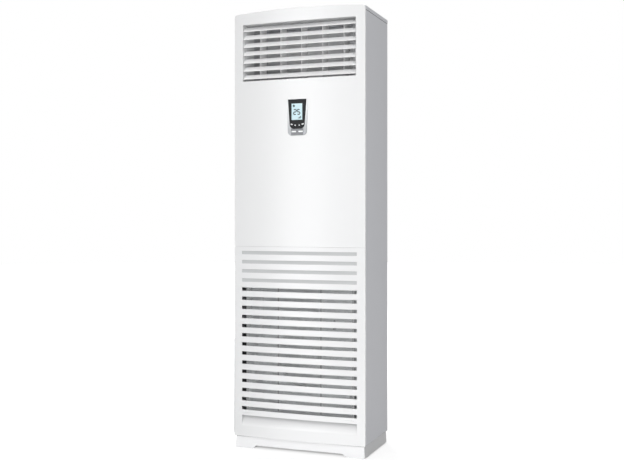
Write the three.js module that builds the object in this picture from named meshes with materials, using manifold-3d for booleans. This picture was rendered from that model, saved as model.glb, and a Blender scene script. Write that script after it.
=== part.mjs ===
// A floor-standing indoor air conditioner, the column unit of a split system, as an assembly of parts.
// Millimetres. +Z is up, the front faces -Y and the origin is on the floor at mid-width and mid-depth.

import * as THREE from 'three';
import { mergeVertices } from 'three/addons/utils/BufferGeometryUtils.js';
import Module from 'manifold-3d';

const wasm = await Module();
wasm.setup();

// Driving dimensions of the cabinet
const cabinetWidth = 500;
const cabinetHeight = 1580;
const cabinetDepth = 276;
const halfWidth = cabinetWidth / 2;
const halfDepth = cabinetDepth / 2;
const plinthHeight = 44;
const frontBow = 8;
const archRise = 8;
const topCoverHeight = 16;

// Clearances and overruns
const gap = 0.3;
const seam = 0.5;
const runningFit = 0.4;
const overrun = 1;
const mergeTolerance = 1e-4;

// Sheet and wall thicknesses
const sheet = 1;
const wall = 2.5;
const cornerRadius = 7;
const bentCornerRadius = 2.4;
const archCornerRadius = 10;

// Plinth
const plinthInset = 5;
const plinthFlare = 2;
const plinthWall = 2.5;
const footWidth = 68;
const footRise = 11;
const footSlope = 10;
const footPadDepth = 34;

// Outlet opening and front panels
const outletTopInset = 39.4;
const outletHeight = 205.6;
const outletSideInset = 33.5;
const outletTop = cabinetHeight - outletTopInset;
const outletBottom = outletTop - outletHeight;
const outletWidth = cabinetWidth - 2 * outletSideInset;
const panelReturn = 8;
const jambWall = 3;
const jambBackInset = 25;
const jambBack = halfDepth - jambBackInset;

// Blower room, whose fan follows the width of the cabinet
const fanWidthShare = 0.6;
const fanDiameter = cabinetWidth * fanWidthShare;
const fanFloorRoom = 136;
const fanHeight = plinthHeight + fanFloorRoom + fanDiameter / 2;
const scrollTongueGap = 20;
const scrollGrowth = 52;
const scrollStart = fanDiameter / 2 + scrollTongueGap;
const scrollEnd = scrollStart + scrollGrowth;
const scrollFrontInset = 76;
const scrollRearRoom = 70;
const scrollFront = -halfDepth + scrollFrontInset;
const scrollDepth = cabinetDepth - scrollFrontInset - scrollRearRoom;
const scrollWall = 2;
const neckPlace = 48;
const deckClearance = 48;
const deckHeight = fanHeight + scrollEnd + deckClearance;
const deckFlange = 12;
const fanDepthRoom = 30;
const fanDepth = scrollDepth - fanDepthRoom;
const fanBladeCount = 32;
const fanBladeDepth = 26;
const fanBladeThickness = 1.6;
const fanBladeBow = 5;
const fanDiscThickness = 2;
const fanRingWidth = 12;
const fanFrontGap = 8;
const hubRadius = 22;
const hubLength = 34;
const shaftRadius = 6;
const inletLap = 38;
const inletRadius = fanDiameter / 2 - inletLap;
const inletLipDepth = 8;
const motorRadius = 56;
const motorLength = 62;
const motorHoleMargin = 6;
const bracketWidth = 26;
const bracketThickness = 2.5;
const bracketRing = 9;

// Intake grille: its seam over the blower deck, its slots and its finger recess
const seamRise = 135;
const frontSeamHeight = deckHeight + seamRise;
const slotSideInset = 29.8;
const slotSpan = cabinetWidth - 2 * slotSideInset;
const slotCount = 18;
const blankedSlots = 4;
const topSlotDrop = 22.5;
const topSlotHeight = frontSeamHeight - topSlotDrop;
const lowestSlotHeight = 146.7;
const slotPitch = (topSlotHeight - lowestSlotHeight) / (slotCount - 1);
const slotHeight = 12.5;
const recessTop = 121;
const recessHeight = 41;
const recessDepth = 20;
const recessSkin = 2;
const blankingThickness = 1.5;
const hookCount = 3;

// Air filter
const filterSideInset = 42;
const filterHalfWidth = halfWidth - filterSideInset;
const filterBottom = 132;
const filterTopDrop = 141;
const filterTop = frontSeamHeight - filterTopDrop;
const filterFrameThickness = 5;
const filterFrameWidth = 9;
const filterRibWidth = 4;
const filterRibShare = 0.394;
const filterRibPlace = filterHalfWidth * filterRibShare;
const netThickness = 0.8;
const filterFaceInset = 15;
const filterFace = halfDepth - filterFaceInset;
const filterRailDepth = 3;

// Louvers and their link
const louverCount = 7;
const louverEndRoom = 31.3;
const louverPitch = (outletHeight - louverEndRoom) / (louverCount - 1);
const topLouverDrop = 22.7;
const topLouverEdge = outletTop - topLouverDrop;
const louverChord = 28;
const louverThickness = 3;
const louverEdgeThickness = 1.2;
const louverTilt = 40;
const louverPivotInset = 14;
const louverPivotDepth = halfDepth - louverPivotInset;
const louverEndGap = 0.8;
const pinRadius = 2;
const linkPinReach = 10;
const linkPinRadius = 0.9;
const linkInset = 14.5;
const linkPlace = outletWidth / 2 - linkInset;
const linkNotch = 12.4;
const linkWidth = 4;
const linkThickness = 2;

// Vanes and the duct that they stand in
const vaneCount = 5;
const vaneEndRoom = 14;
const vanePitch = (outletWidth - 2 * vaneEndRoom) / vaneCount;
const vaneThickness = 1.6;
const vaneFrontInset = 31;
const vaneFront = halfDepth - vaneFrontInset;
const vaneChord = 58;
const vanePivotInset = 58;
const vanePivotDepth = halfDepth - vanePivotInset;
const vanePinRadius = 2.5;
const vaneLinkReach = 22;
const vaneLinkThickness = 2;
const vaneLinkWidth = 5;
const vaneLugRadius = 1;
const ductFloorDrop = 4;
const ductCeilingRise = 3.4;
const ductFloor = outletBottom - ductFloorDrop;
const ductCeiling = outletTop + ductCeilingRise;
const vaneEndGap = 7;
const vaneBottom = ductFloor + vaneEndGap;
const vaneTop = ductCeiling - vaneEndGap;
const ductHalfWidth = outletWidth / 2;
const ductWall = 2;
const ductFrontInset = 26;
const ductFront = halfDepth - ductFrontInset;
const ductDepth = 72;
const ductFlange = 24;

// Display unit and its six buttons, given by their place across and their height on the display
const displayDrop = 72.6;
const displayHeight = 129.8;
const displayBottom = outletBottom - displayDrop - displayHeight;
const displayTopWidth = 80;
const displayFootWidth = 72;
const displayCorner = 14;
const displayProud = 2.5;
const displayBackInset = 1;
const displayBack = halfDepth - displayBackInset;
const windowFootRise = 23.4;
const windowBottom = displayBottom + windowFootRise;
const windowTopWidth = 71;
const windowFootWidth = 57;
const windowCorner = 16;
const windowRim = 1.5;
const windowThickness = 3;
const lcdWidth = 44;
const lcdHeight = 61.5;
const lcdRise = 54.1;
const lcdBottom = displayBottom + lcdRise;
const lcdThickness = 2;
const lcdSink = 0.6;
const windowButtonPlaces = [[-21, 39.4], [-8, 35.9], [8, 35.9], [21, 39.4]];
const bezelButtonPlaces = [[-13, 13.4], [13, 13.4]];
const outerButtonWidth = 8;
const innerButtonWidth = 5;
const windowButtonHeight = 4;
const bezelButtonWidth = 17;
const bezelButtonHeight = 5;
const buttonLift = 0.5;
const buttonShoulder = 1;
const buttonShoulderDepth = 1.2;
const buttonTravelGap = 1.4;
const boardThickness = 1.6;
const boardMargin = 5;

// Cabinet panels
const sideFlange = 14;
const rearReturn = 12;
const baseFlange = 18;
const coverWall = 2.5;
const coverSkirt = 9;

// Pipe cover on the left side
const pipeCoverTop = 399;
const pipeCoverProud = 6;
const pipeCoverFrontInset = 7;
const pipeCoverFront = halfDepth - pipeCoverFrontInset;
const pipeCoverDepth = 76;
const pipeCoverWall = 2;
const pipeCoverNotch = 4;
const pipeCoverNotchHeight = 8;
const pipeHoleTop = 340;
const pipeHoleBottom = 96;
const pipeHoleMargin = 11;
const screwHeadRadius = 3.6;
const screwHeadHeight = 1.6;
const screwRadius = 1.7;
const screwLength = 9;

// Drain pan and its hose
const panStand = 52;
const panBottom = deckHeight + panStand;
const panHeight = 38;
const panSideInset = 26;
const panWidth = cabinetWidth - 2 * panSideInset;
const panRearRoom = 72;
const panFront = scrollFront;
const panDepth = cabinetDepth - scrollFrontInset - panRearRoom;
const panWall = 2.5;
const panSupport = 5;
const spoutLength = 18;
const hoseRadius = 9;
const hoseWall = 1.5;
const hoseSideInset = 45;
const hosePlace = -halfWidth + hoseSideInset;
const hoseEnd = 120;
const hoseTurn = deckHeight / 2;

// Heat exchanger, which leans back from the pan
const coilSideInset = 48;
const coilWidth = cabinetWidth - 2 * coilSideInset;
const coilThickness = 40;
const coilFootRise = 16;
const coilBottom = panBottom + panHeight + coilFootRise;
const coilHeadDrop = 45;
const coilTop = outletBottom - coilHeadDrop;
const coilFootInset = 118;
const coilFootDepth = -halfDepth + coilFootInset;
const coilHeadInset = 46;
const coilHeadDepth = halfDepth - coilHeadInset;
const endPlateThickness = 2;
const endPlateMargin = 6;
const tubeRadius = 4.8;
const bendCount = 7;
const bendSpare = 0.44;
const bendRadius = 12;
const bendReach = 8;

// Refrigerant pipes
const gasPipeRadius = 7.9;
const liquidPipeRadius = 4.8;
const gasPipeInset = 88;
const liquidPipeInset = 110;
const gasTailInset = 38;
const liquidTailInset = 62;
const gasPipeStart = 160;
const liquidPipeStart = 80;
const pipeSideInset = 14;
const pipeLine = halfWidth - pipeSideInset;
const pipeEnd = 190;
const pipeStub = 6.5;
const pipeFall = 26;
const pipeBendHeight = 78;
const pipeTurnHeight = 104;
const flareNutLength = 24;
const flareNutSpare = 2.5;

// Duct front wall, electric box and duct liner
const ductWallInset = 68;
const ductWallDepth = halfDepth - ductWallInset;
const boxSideInset = 100;
const boxWidth = cabinetWidth - 2 * boxSideInset;
const boxFootRise = 25;
const boxBottom = frontSeamHeight + boxFootRise;
const boxHeight = 280;
const boxFrontInset = 22;
const boxFront = halfDepth - boxFrontInset;
const boxWall = 2;
const boardSpacer = 12;
const boardEdge = 14;
const linerThickness = 12;
const linerFootRise = 40;
const linerBottom = deckHeight + linerFootRise;
const linerHeadDrop = 24;
const linerTop = cabinetHeight - linerHeadDrop;
const linerSideInset = 15;
const linerWidth = cabinetWidth - 2 * linerSideInset;

// Rear panel fittings
const glandHeight = 118;
const glandSideInset = 82;
const glandPlace = halfWidth - glandSideInset;
const glandRadius = 11;
const glandBore = 5;
const glandReach = 12;
const glandCollar = 3;
const bracketPlateWidth = 120;
const bracketPlateHeight = 46;
const bracketPlateThickness = 2.5;
const bracketDrop = 50;
const bracketTop = cabinetHeight - bracketDrop;
const bracketSlotWidth = 7;
const bracketSlotLength = 20;
const bracketSlotPlace = 38;

// Vane motor and room sensor
const vaneMotorRadius = 17;
const vaneMotorHeight = 20;
const vaneMotorEar = 8;
const vaneMotorEarThickness = 2;
const sensorRadius = 3;
const sensorLength = 30;
const sensorClip = 10;

// Finishes
const whitePlastic = { color: 0xf4f5f6, roughness: 0.38, metalness: 0 };
const whiteSheet = { color: 0xeff0f1, roughness: 0.42, metalness: 0.1 };
const plinthPlastic = { color: 0xeceded, roughness: 0.5, metalness: 0 };
const greyPlastic = { color: 0xb9bdc0, roughness: 0.55, metalness: 0 };
const ductPlastic = { color: 0x8d8f91, roughness: 0.65, metalness: 0 };
const darkNet = { color: 0x6f7477, roughness: 0.8, metalness: 0 };
const silverPlastic = { color: 0xb4b8bb, roughness: 0.3, metalness: 0.3 };
const blackGloss = { color: 0x2a2c2e, roughness: 0.1, metalness: 0 };
const lcdGlass = { color: 0xd9f2f7, roughness: 0.2, metalness: 0 };
const galvanised = { color: 0xb5b8ba, roughness: 0.45, metalness: 0.9 };
const aluminium = { color: 0xc9ccce, roughness: 0.35, metalness: 0.95 };
const copper = { color: 0xb87348, roughness: 0.35, metalness: 0.95 };
const pipeSleeve = { color: 0x232425, roughness: 0.9, metalness: 0 };
const blackPlastic = { color: 0x2b2d2f, roughness: 0.5, metalness: 0 };
const boardGreen = { color: 0x2f6b46, roughness: 0.5, metalness: 0 };
const foam = { color: 0x8f9193, roughness: 0.9, metalness: 0 };
const hosePlastic = { color: 0xc7c9cb, roughness: 0.6, metalness: 0 };

// Counts of facets
const roundSides = 20;
const pinSides = 8;
const nutSides = 6;
const cornerSteps = 3;
const bowSteps = 12;
const scrollSteps = 24;
const curveSteps = 6;
const hoseSteps = 24;
const tubeSides = 8;
const bladeSteps = 2;
const bendSteps = 4;

// Places that several pieces share
const panelBack = -halfDepth + panelReturn;
const panelFront = panelBack + gap;
const innerHalfWidth = halfWidth - sheet;
const panelFoot = plinthHeight + sheet + gap;
const coverBottom = cabinetHeight - topCoverHeight;
const panelTop = coverBottom - gap;
const rearFace = halfDepth - sheet;
const insideFront = panelFront + sheet + gap;
const insideBack = halfDepth - rearReturn - gap - sheet - gap;
const wholeDepth = [-cabinetDepth, 0];

const unit = new THREE.Group();

// A closed three.js geometry as a solid that can be joined and cut.
function solid(geometry) {
  const bare = geometry.clone();
  bare.deleteAttribute('normal');
  bare.deleteAttribute('uv');
  const merged = mergeVertices(bare, mergeTolerance);
  const vertProperties = new Float32Array(merged.attributes.position.array);
  const triVerts = new Uint32Array(merged.index.array);
  return new wasm.Manifold(new wasm.Mesh({ numProp: 3, vertProperties, triVerts }));
}

// A solid as a named mesh of the unit, in its own finish.
function place(name, body, finish) {
  const { vertProperties, triVerts } = body.getMesh();
  const geometry = new THREE.BufferGeometry();
  geometry.setAttribute('position', new THREE.BufferAttribute(vertProperties, 3));
  geometry.setIndex(new THREE.BufferAttribute(triVerts, 1));
  geometry.computeVertexNormals();
  const mesh = new THREE.Mesh(geometry, new THREE.MeshStandardMaterial(finish));
  mesh.name = name;
  unit.add(mesh);
}

function block([left, right], [front, back], [bottom, top]) {
  const box = new THREE.BoxGeometry(right - left, back - front, top - bottom);
  box.translate((left + right) / 2, (front + back) / 2, (bottom + top) / 2);
  return solid(box);
}

// The same block on the left and on the right.
function blockPair([near, far], depth, height) {
  return block([near, far], depth, height).add(block([-far, -near], depth, height));
}

// A round rod along an axis, through a centre.
function rod(axis, radius, [from, to], centre, sides = roundSides) {
  const cylinder = new THREE.CylinderGeometry(radius, radius, to - from, sides);
  if (axis === 'x') cylinder.rotateZ(Math.PI / 2);
  if (axis === 'z') cylinder.rotateX(Math.PI / 2);
  const middle = { x: 0, y: 0, z: 0, ...centre, [axis]: (from + to) / 2 };
  cylinder.translate(middle.x, middle.y, middle.z);
  return solid(cylinder);
}

// An outline drawn across an axis and pushed along it: in x and y for z, x and z for y, y and z for x.
function extruded(outline, axis, [from, to], steps = 1) {
  const shape = new THREE.Shape(outline.map(([a, b]) => new THREE.Vector2(a, b)));
  const body = new THREE.ExtrudeGeometry(shape, { depth: to - from, bevelEnabled: false, steps });
  if (axis === 'y') {
    body.translate(0, 0, -to);
    body.rotateX(Math.PI / 2);
    return body;
  }
  body.translate(0, 0, from);
  if (axis === 'x') {
    const [x, y, z] = [0, 1, 2].map((i) => new THREE.Vector3().setComponent(i, 1));
    body.applyMatrix4(new THREE.Matrix4().makeBasis(y, z, x));
  }
  return body;
}

function prism(outline, axis, span) {
  return solid(extruded(outline, axis, span));
}

// Points of a round corner between two angles, in degrees.
function arc([a, b], radius, fromAngle, toAngle, steps = cornerSteps) {
  return Array.from({ length: steps + 1 }, (_, i) => {
    const angle = THREE.MathUtils.degToRad(fromAngle + ((toAngle - fromAngle) * i) / steps);
    return [a + radius * Math.cos(angle), b + radius * Math.sin(angle)];
  });
}

function roundedRectangle([left, right], [bottom, top], radius) {
  return [
    ...arc([right - radius, bottom + radius], radius, -90, 0),
    ...arc([right - radius, top - radius], radius, 0, 90),
    ...arc([left + radius, top - radius], radius, 90, 180),
    ...arc([left + radius, bottom + radius], radius, 180, 270),
  ];
}

// The front of the cabinet is bowed in plan: its depth at a place across the width.
function frontFace(x) {
  return -halfDepth - frontBow * (1 - (x / halfWidth) ** 2);
}

// Plinth: a flared skirt with a deck, cut away at the front and back so that it stands on four feet.
function plinth() {
  const top = plinthHeight - seam;
  const half = halfWidth - plinthInset;
  const depth = halfDepth - plinthInset;
  const skirt = (inset) => {
    const across = [-half + inset, half - inset];
    const upper = roundedRectangle(across, [-depth + inset, depth - inset], cornerRadius);
    const body = extruded(upper, 'z', [inset > 0 ? -overrun : 0, top - inset]);
    const points = body.attributes.position;
    for (let i = 0; i < points.count; i += 1) {
      const flare = plinthFlare * (1 - Math.max(points.getZ(i), 0) / top);
      points.setX(i, points.getX(i) * (1 + flare / half));
      points.setY(i, points.getY(i) * (1 + flare / depth));
    }
    return solid(body);
  };
  const footEdge = half - footWidth;
  const cut = [
    [-footEdge, -overrun],
    [footEdge, -overrun],
    [footEdge, 0],
    [footEdge - footSlope, footRise],
    [-footEdge + footSlope, footRise],
    [-footEdge, 0],
  ];
  const inner = half - plinthWall;
  const padSpan = [footEdge, inner];
  const pads = [-1, 1].map((side) => {
    const depths = [side * (depth - plinthWall), side * (depth - footPadDepth)].sort((a, b) => a - b);
    return blockPair(padSpan, depths, [0, plinthWall]);
  });
  let body = skirt(0).subtract(skirt(plinthWall));
  body = body.subtract(prism(cut, 'y', [-halfDepth, halfDepth]));
  for (const pad of pads) body = body.add(pad);
  place('plinth', body, plinthPlastic);
}

// Base pan: the steel floor of the cabinet, with its edges turned up inside the panels.
function basePan() {
  const top = plinthHeight + baseFlange;
  const floorHeight = [plinthHeight, plinthHeight + sheet];
  const floor = block([-halfWidth, halfWidth], [panelFront, halfDepth], floorHeight);
  const half = innerHalfWidth - gap;
  const outer = block([-half, half], [insideFront, insideBack], [plinthHeight, top]);
  const hollow = block(
    [-half + sheet, half - sheet],
    [insideFront + sheet, insideBack - sheet],
    [plinthHeight - overrun, top + overrun],
  );
  place('base_pan', outer.subtract(hollow).add(floor), galvanised);
}

// Side panels: bent steel sheets with a flange turned in at the front and at the back.
function sidePanelOutline() {
  const back = halfDepth - rearReturn - gap;
  return [
    [halfWidth, panelFront],
    [halfWidth, back],
    [halfWidth - sideFlange, back],
    [halfWidth - sideFlange, back - sheet],
    [innerHalfWidth, back - sheet],
    [innerHalfWidth, panelFront + sheet],
    [halfWidth - sideFlange, panelFront + sheet],
    [halfWidth - sideFlange, panelFront],
  ];
}

function sidePanels() {
  const right = prism(sidePanelOutline(), 'z', [panelFoot, panelTop]);
  const hole = block(
    [-halfWidth - overrun, -innerHalfWidth + overrun],
    [-pipeCoverFront + pipeHoleMargin, -pipeCoverFront + pipeCoverDepth - pipeHoleMargin],
    [pipeHoleBottom, pipeHoleTop],
  );
  let left = right.mirror([1, 0, 0]).subtract(hole);
  const boreSpan = [-halfWidth - overrun, -innerHalfWidth + overrun];
  left = left.subtract(rod('x', screwRadius + gap, boreSpan, pipeCoverScrew(), pinSides));
  place('side_panel_right', right, whiteSheet);
  place('side_panel_left', left, whiteSheet);
}

// Rear panel: one bent sheet that wraps both back corners, with holes for the gland and its bracket.
function rearPanel() {
  const front = halfDepth - rearReturn;
  const outline = roundedRectangle([-halfWidth, halfWidth], [0, halfDepth], bentCornerRadius);
  const height = [panelFoot - overrun, panelTop + overrun];
  const inside = block([-innerHalfWidth, innerHalfWidth], [-overrun, rearFace], height);
  const ahead = block([-halfWidth - overrun, halfWidth + overrun], [-overrun, front], height);
  const glandCentre = { x: glandPlace, z: glandHeight };
  const bore = rod('y', glandRadius + gap, [rearFace - overrun, halfDepth + overrun], glandCentre);
  const body = prism(outline, 'z', [panelFoot, panelTop]).subtract(inside).subtract(ahead);
  place('rear_panel', body.subtract(bore), whiteSheet);
}

// Top cover: a shallow moulded cap, with a skirt that reaches down inside the panels.
function topCover() {
  const outline = roundedRectangle([-halfWidth, halfWidth], [panelFront, halfDepth], bentCornerRadius);
  const cap = prism(outline, 'z', [coverBottom, cabinetHeight]);
  const half = innerHalfWidth - gap;
  const skirtFoot = coverBottom - coverSkirt;
  const skirt = block([-half, half], [insideFront, insideBack], [skirtFoot, coverBottom + overrun]);
  const hollow = block(
    [-half + coverWall, half - coverWall],
    [insideFront + coverWall, insideBack - coverWall],
    [skirtFoot - overrun, cabinetHeight - coverWall],
  );
  place('top_cover', cap.add(skirt).subtract(hollow), whitePlastic);
}

// The front curve in plan, from the right return to the left one, moved inwards by an inset.
function frontCurve(inset, back) {
  const half = halfWidth - inset;
  const radius = cornerRadius - inset;
  const cornerPlace = halfWidth - cornerRadius;
  const cornerDepth = frontFace(cornerPlace) + cornerRadius;
  const right = arc([cornerPlace, cornerDepth], radius, 0, -90);
  const bow = Array.from({ length: bowSteps - 1 }, (_, i) => {
    const x = cornerPlace - (2 * cornerPlace * (i + 1)) / bowSteps;
    return [x, frontFace(x) + inset];
  });
  const left = right.map(([x, y]) => [-x, y]).reverse();
  return [[half, back], ...right, ...bow, ...left, [-half, back]];
}

// A curved front shell with its two side returns.
function frontShell(span) {
  const outline = [...frontCurve(0, panelBack), ...frontCurve(wall, panelBack).reverse()];
  return prism(outline.reverse(), 'z', span);
}

// A flat shelf inside the shell, as deep as the returns.
function frontShelf(bottom) {
  return prism(frontCurve(wall / 2, panelBack).reverse(), 'z', [bottom, bottom + wall]);
}

// A prism across the width whose depth follows the bow of the front.
function bowedPrism(outline, span) {
  const body = extruded(outline, 'x', span, bowSteps);
  const points = body.attributes.position;
  for (let i = 0; i < points.count; i += 1) {
    points.setY(i, points.getY(i) + frontFace(points.getX(i)));
  }
  return solid(body);
}

// The elevation of the upper panel: an arched top edge between two round corners.
function archOutline(bottom) {
  const shoulder = cabinetHeight - archCornerRadius;
  const span = halfWidth - archCornerRadius;
  const right = arc([span, shoulder], archCornerRadius, 0, 90);
  const arch = Array.from({ length: bowSteps - 1 }, (_, i) => {
    const x = span - (2 * span * (i + 1)) / bowSteps;
    return [x, cabinetHeight + archRise * (1 - (x / span) ** 2)];
  });
  const left = right.map(([x, z]) => [-x, z]).reverse();
  return [[-halfWidth - overrun, bottom], [halfWidth + overrun, bottom], ...right, ...arch, ...left];
}

// The display outline: straight at the top, narrower at the foot, with round bottom corners.
function displayOutline(topWidth, footWidth, [bottom, top], radius, margin = 0) {
  const head = topWidth / 2 + margin;
  const foot = footWidth / 2 + margin;
  const right = arc([foot - radius, bottom - margin + radius], radius, -90, 0);
  const left = right.map(([x, z]) => [-x, z]).reverse();
  return [...right, [head, top + margin], [-head, top + margin], ...left];
}

function bezelOutline(margin = 0) {
  return displayOutline(
    displayTopWidth,
    displayFootWidth,
    [displayBottom, displayBottom + displayHeight],
    displayCorner,
    margin,
  );
}

function louverHeight(index) {
  const drop = (louverChord / 2) * Math.sin(THREE.MathUtils.degToRad(louverTilt));
  return topLouverEdge - louverPitch * index + drop;
}

// Upper front panel: bowed shell with the outlet opening, its two louver jambs and the display cut-out.
function upperFrontPanel() {
  const bottom = frontSeamHeight + seam / 2;
  let body = frontShell([bottom, cabinetHeight + archRise + overrun]);
  body = body.add(frontShelf(bottom)).add(frontShelf(cabinetHeight - wall));
  body = body.intersect(prism(archOutline(bottom), 'y', wholeDepth));
  const half = outletWidth / 2;
  body = body.subtract(block([-half, half], wholeDepth, [outletBottom, outletTop]));
  const jambFront = frontFace(half + jambWall) + wall / 2;
  const jambHeights = [outletBottom - jambWall, outletTop + jambWall];
  body = body.add(blockPair([half, half + jambWall], [jambFront, -jambBack], jambHeights));
  for (let i = 0; i < louverCount; i += 1) {
    const centre = { y: -louverPivotDepth, z: louverHeight(i) };
    const reach = half + jambWall + overrun;
    body = body.subtract(rod('x', pinRadius + runningFit, [-reach, reach], centre, pinSides));
  }
  body = body.subtract(prism(bezelOutline(gap), 'y', wholeDepth));
  place('upper_front_panel', body, whitePlastic);
}

// The finger recess in section: a sharp top edge and a hollow that fades out downwards.
function recessCurve(offset) {
  return Array.from({ length: curveSteps + 1 }, (_, i) => {
    const share = i / curveSteps;
    const depth = recessDepth * (1 - Math.sin((share * Math.PI) / 2));
    return [depth + offset, recessTop - recessHeight * share];
  });
}

function slotHeightAt(index) {
  return topSlotHeight - slotPitch * index;
}

// Hooks on the back of the slats that guide the filter, and two ledges that it stands on.
function filterGuides() {
  const near = filterHalfWidth + runningFit;
  const far = near + filterRailDepth;
  const back = -filterFace + runningFit;
  const spacing = (slotCount - blankedSlots) / (hookCount + 1);
  const parts = Array.from({ length: hookCount }, (_, i) => {
    const level = blankedSlots + Math.round(spacing * (i + 1));
    const middle = (slotHeightAt(level) + slotHeightAt(level - 1)) / 2;
    const height = [middle - slotHeight / 2, middle + slotHeight / 2];
    const root = frontFace(far) + wall / 2;
    const arm = blockPair([near, far], [root, back + filterRailDepth], height);
    return arm.add(blockPair([near - filterRailDepth, far], [back, back + filterRailDepth], height));
  });
  const ledgeTop = filterBottom - gap;
  const ledgeDepths = [frontFace(filterRibPlace) + wall / 2, back];
  const ledge = blockPair([filterRibPlace, near], ledgeDepths, [ledgeTop - wall, ledgeTop]);
  return parts.reduce((sum, part) => sum.add(part), ledge);
}

// Intake grille: the lower front panel, with its row of slots and the finger recess.
function intakeGrille() {
  const top = frontSeamHeight - seam / 2;
  const half = slotSpan / 2;
  let body = frontShell([plinthHeight, top]).add(frontShelf(plinthHeight)).add(frontShelf(top - wall));
  const skin = [
    [wall / 2, recessTop + recessSkin],
    [recessDepth + recessSkin, recessTop + recessSkin],
    ...recessCurve(recessSkin + wall / 2),
    [wall / 2, recessTop - recessHeight],
  ];
  body = body.add(bowedPrism(skin.reverse(), [-half - recessSkin, half + recessSkin]));
  const hollow = [[-overrun, recessTop], ...recessCurve(0), [-overrun, recessTop - recessHeight]];
  body = body.subtract(bowedPrism(hollow.reverse(), [-half, half]));
  for (let i = 0; i < slotCount; i += 1) {
    const middle = slotHeightAt(i);
    const height = [middle - slotHeight / 2, middle + slotHeight / 2];
    body = body.subtract(block([-half, half], [-cabinetDepth, panelBack], height));
  }
  place('intake_grille', body.add(filterGuides()), whitePlastic);
}

// Slot blanking plate: closes the upper slots from behind.
function slotBlankingPlate() {
  const half = slotSpan / 2 + wall;
  const front = wall + gap;
  const bottom = slotHeightAt(blankedSlots - 1) - slotHeight;
  const top = slotHeightAt(0) + slotHeight;
  const back = front + blankingThickness;
  const outline = [[front, bottom], [back, bottom], [back, top], [front, top]];
  place('slot_blanking_plate', bowedPrism(outline, [-half, half]), greyPlastic);
}

// Air filter: a frame with two ribs, and the net that it holds.
function airFilter() {
  const front = -filterFace - filterFrameThickness;
  const depth = [front, -filterFace];
  const top = filterTop;
  const through = [front - overrun, -filterFace + overrun];
  const inner = filterHalfWidth - filterFrameWidth;
  const openHeights = [filterBottom + filterFrameWidth, top - filterFrameWidth];
  const rib = filterRibWidth / 2;
  let frame = block([-filterHalfWidth, filterHalfWidth], depth, [filterBottom, top]);
  frame = frame.subtract(block([-filterRibPlace + rib, filterRibPlace - rib], through, openHeights));
  frame = frame.subtract(blockPair([filterRibPlace + rib, inner], through, openHeights));
  const netFront = front + netThickness;
  const slotMargin = filterFrameWidth / 2;
  const groove = block(
    [-inner - slotMargin, inner + slotMargin],
    [netFront, netFront + netThickness + 2 * gap],
    [openHeights[0] - slotMargin, openHeights[1] + slotMargin],
  );
  const net = block(
    [-inner - slotMargin + gap, inner + slotMargin - gap],
    [netFront + gap, netFront + gap + netThickness],
    [openHeights[0] - slotMargin + gap, openHeights[1] + slotMargin - gap],
  );
  place('filter_frame', frame.subtract(groove), ductPlastic);
  place('filter_net', net, darkNet);
}

// A point of a louver, given along its chord and across it, at its tilt round its pivot.
function louverPoint([along, across], pivotHeight) {
  const tilt = THREE.MathUtils.degToRad(louverTilt);
  return [
    -louverPivotDepth + along * Math.cos(tilt) - across * Math.sin(tilt),
    pivotHeight + along * Math.sin(tilt) + across * Math.cos(tilt),
  ];
}

// Louvers: tapered blades on end pins, each notched behind for the link and bridged there by a thin pin.
function louvers() {
  const end = outletWidth / 2 - louverEndGap;
  const pinEnd = end + louverEndGap + jambWall;
  const edge = louverEdgeThickness / 2;
  const middle = louverThickness / 2;
  const tip = louverChord / 2;
  const section = [[-tip, -edge], [0, -middle], [tip, -edge], [tip, edge], [0, middle], [-tip, edge]];
  const notch = [
    [tip - linkNotch, -louverThickness],
    [tip + overrun, -louverThickness],
    [tip + overrun, louverThickness],
    [tip - linkNotch, louverThickness],
  ];
  const notchSpan = [linkPlace - gap, linkPlace + linkThickness + gap];
  const linkPinSpan = [notchSpan[0] - overrun, notchSpan[1] + overrun];
  for (let i = 0; i < louverCount; i += 1) {
    const height = louverHeight(i);
    const pivot = { y: -louverPivotDepth, z: height };
    const tilted = (outline) => outline.map((point) => louverPoint(point, height));
    const [linkY, linkZ] = louverPoint([linkPinReach, 0], height);
    let body = prism(tilted(section), 'x', [-end, end]).subtract(prism(tilted(notch), 'x', notchSpan));
    body = body.add(rod('x', pinRadius, [-pinEnd, pinEnd], pivot, pinSides));
    body = body.add(rod('x', linkPinRadius, linkPinSpan, { y: linkY, z: linkZ }, pinSides));
    place(`louver_${i + 1}`, body, whitePlastic);
  }
}

// Louver link: a flat upright bar in the notches of the blades, hooked on their thin pins.
function louverLink() {
  const span = [linkPlace, linkPlace + linkThickness];
  const [depth, top] = louverPoint([linkPinReach, 0], louverHeight(0));
  const bottom = louverPoint([linkPinReach, 0], louverHeight(louverCount - 1))[1];
  const half = linkWidth / 2;
  const through = [span[0] - overrun, span[1] + overrun];
  let body = block(span, [depth - half, depth + half], [bottom - half, top + half]);
  for (let i = 0; i < louverCount; i += 1) {
    const centre = { y: depth, z: top - louverPitch * i };
    body = body.subtract(rod('x', linkPinRadius + runningFit, through, centre, pinSides));
  }
  place('louver_link', body, greyPlastic);
}

function vanePlace(index) {
  return vanePitch * (index - (vaneCount - 1) / 2);
}

// Vanes: upright plates on pins in the floor and ceiling of the duct, each with a pin in the link.
function vanes() {
  const half = vaneThickness / 2;
  const pinSpan = [ductFloor - ductWall, ductCeiling + ductWall];
  const lugBottom = ductFloor + gap;
  for (let i = 0; i < vaneCount; i += 1) {
    const x = vanePlace(i);
    const pivot = { x, y: -vanePivotDepth };
    const lug = { x, y: -vanePivotDepth + vaneLinkReach };
    let body = block([x - half, x + half], [-vaneFront, -vaneFront + vaneChord], [vaneBottom, vaneTop]);
    body = body.add(rod('z', vanePinRadius, pinSpan, pivot, pinSides));
    body = body.add(rod('z', vaneLugRadius, [lugBottom, vaneBottom + overrun], lug, pinSides));
    place(`vane_${i + 1}`, body, ductPlastic);
  }
}

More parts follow.
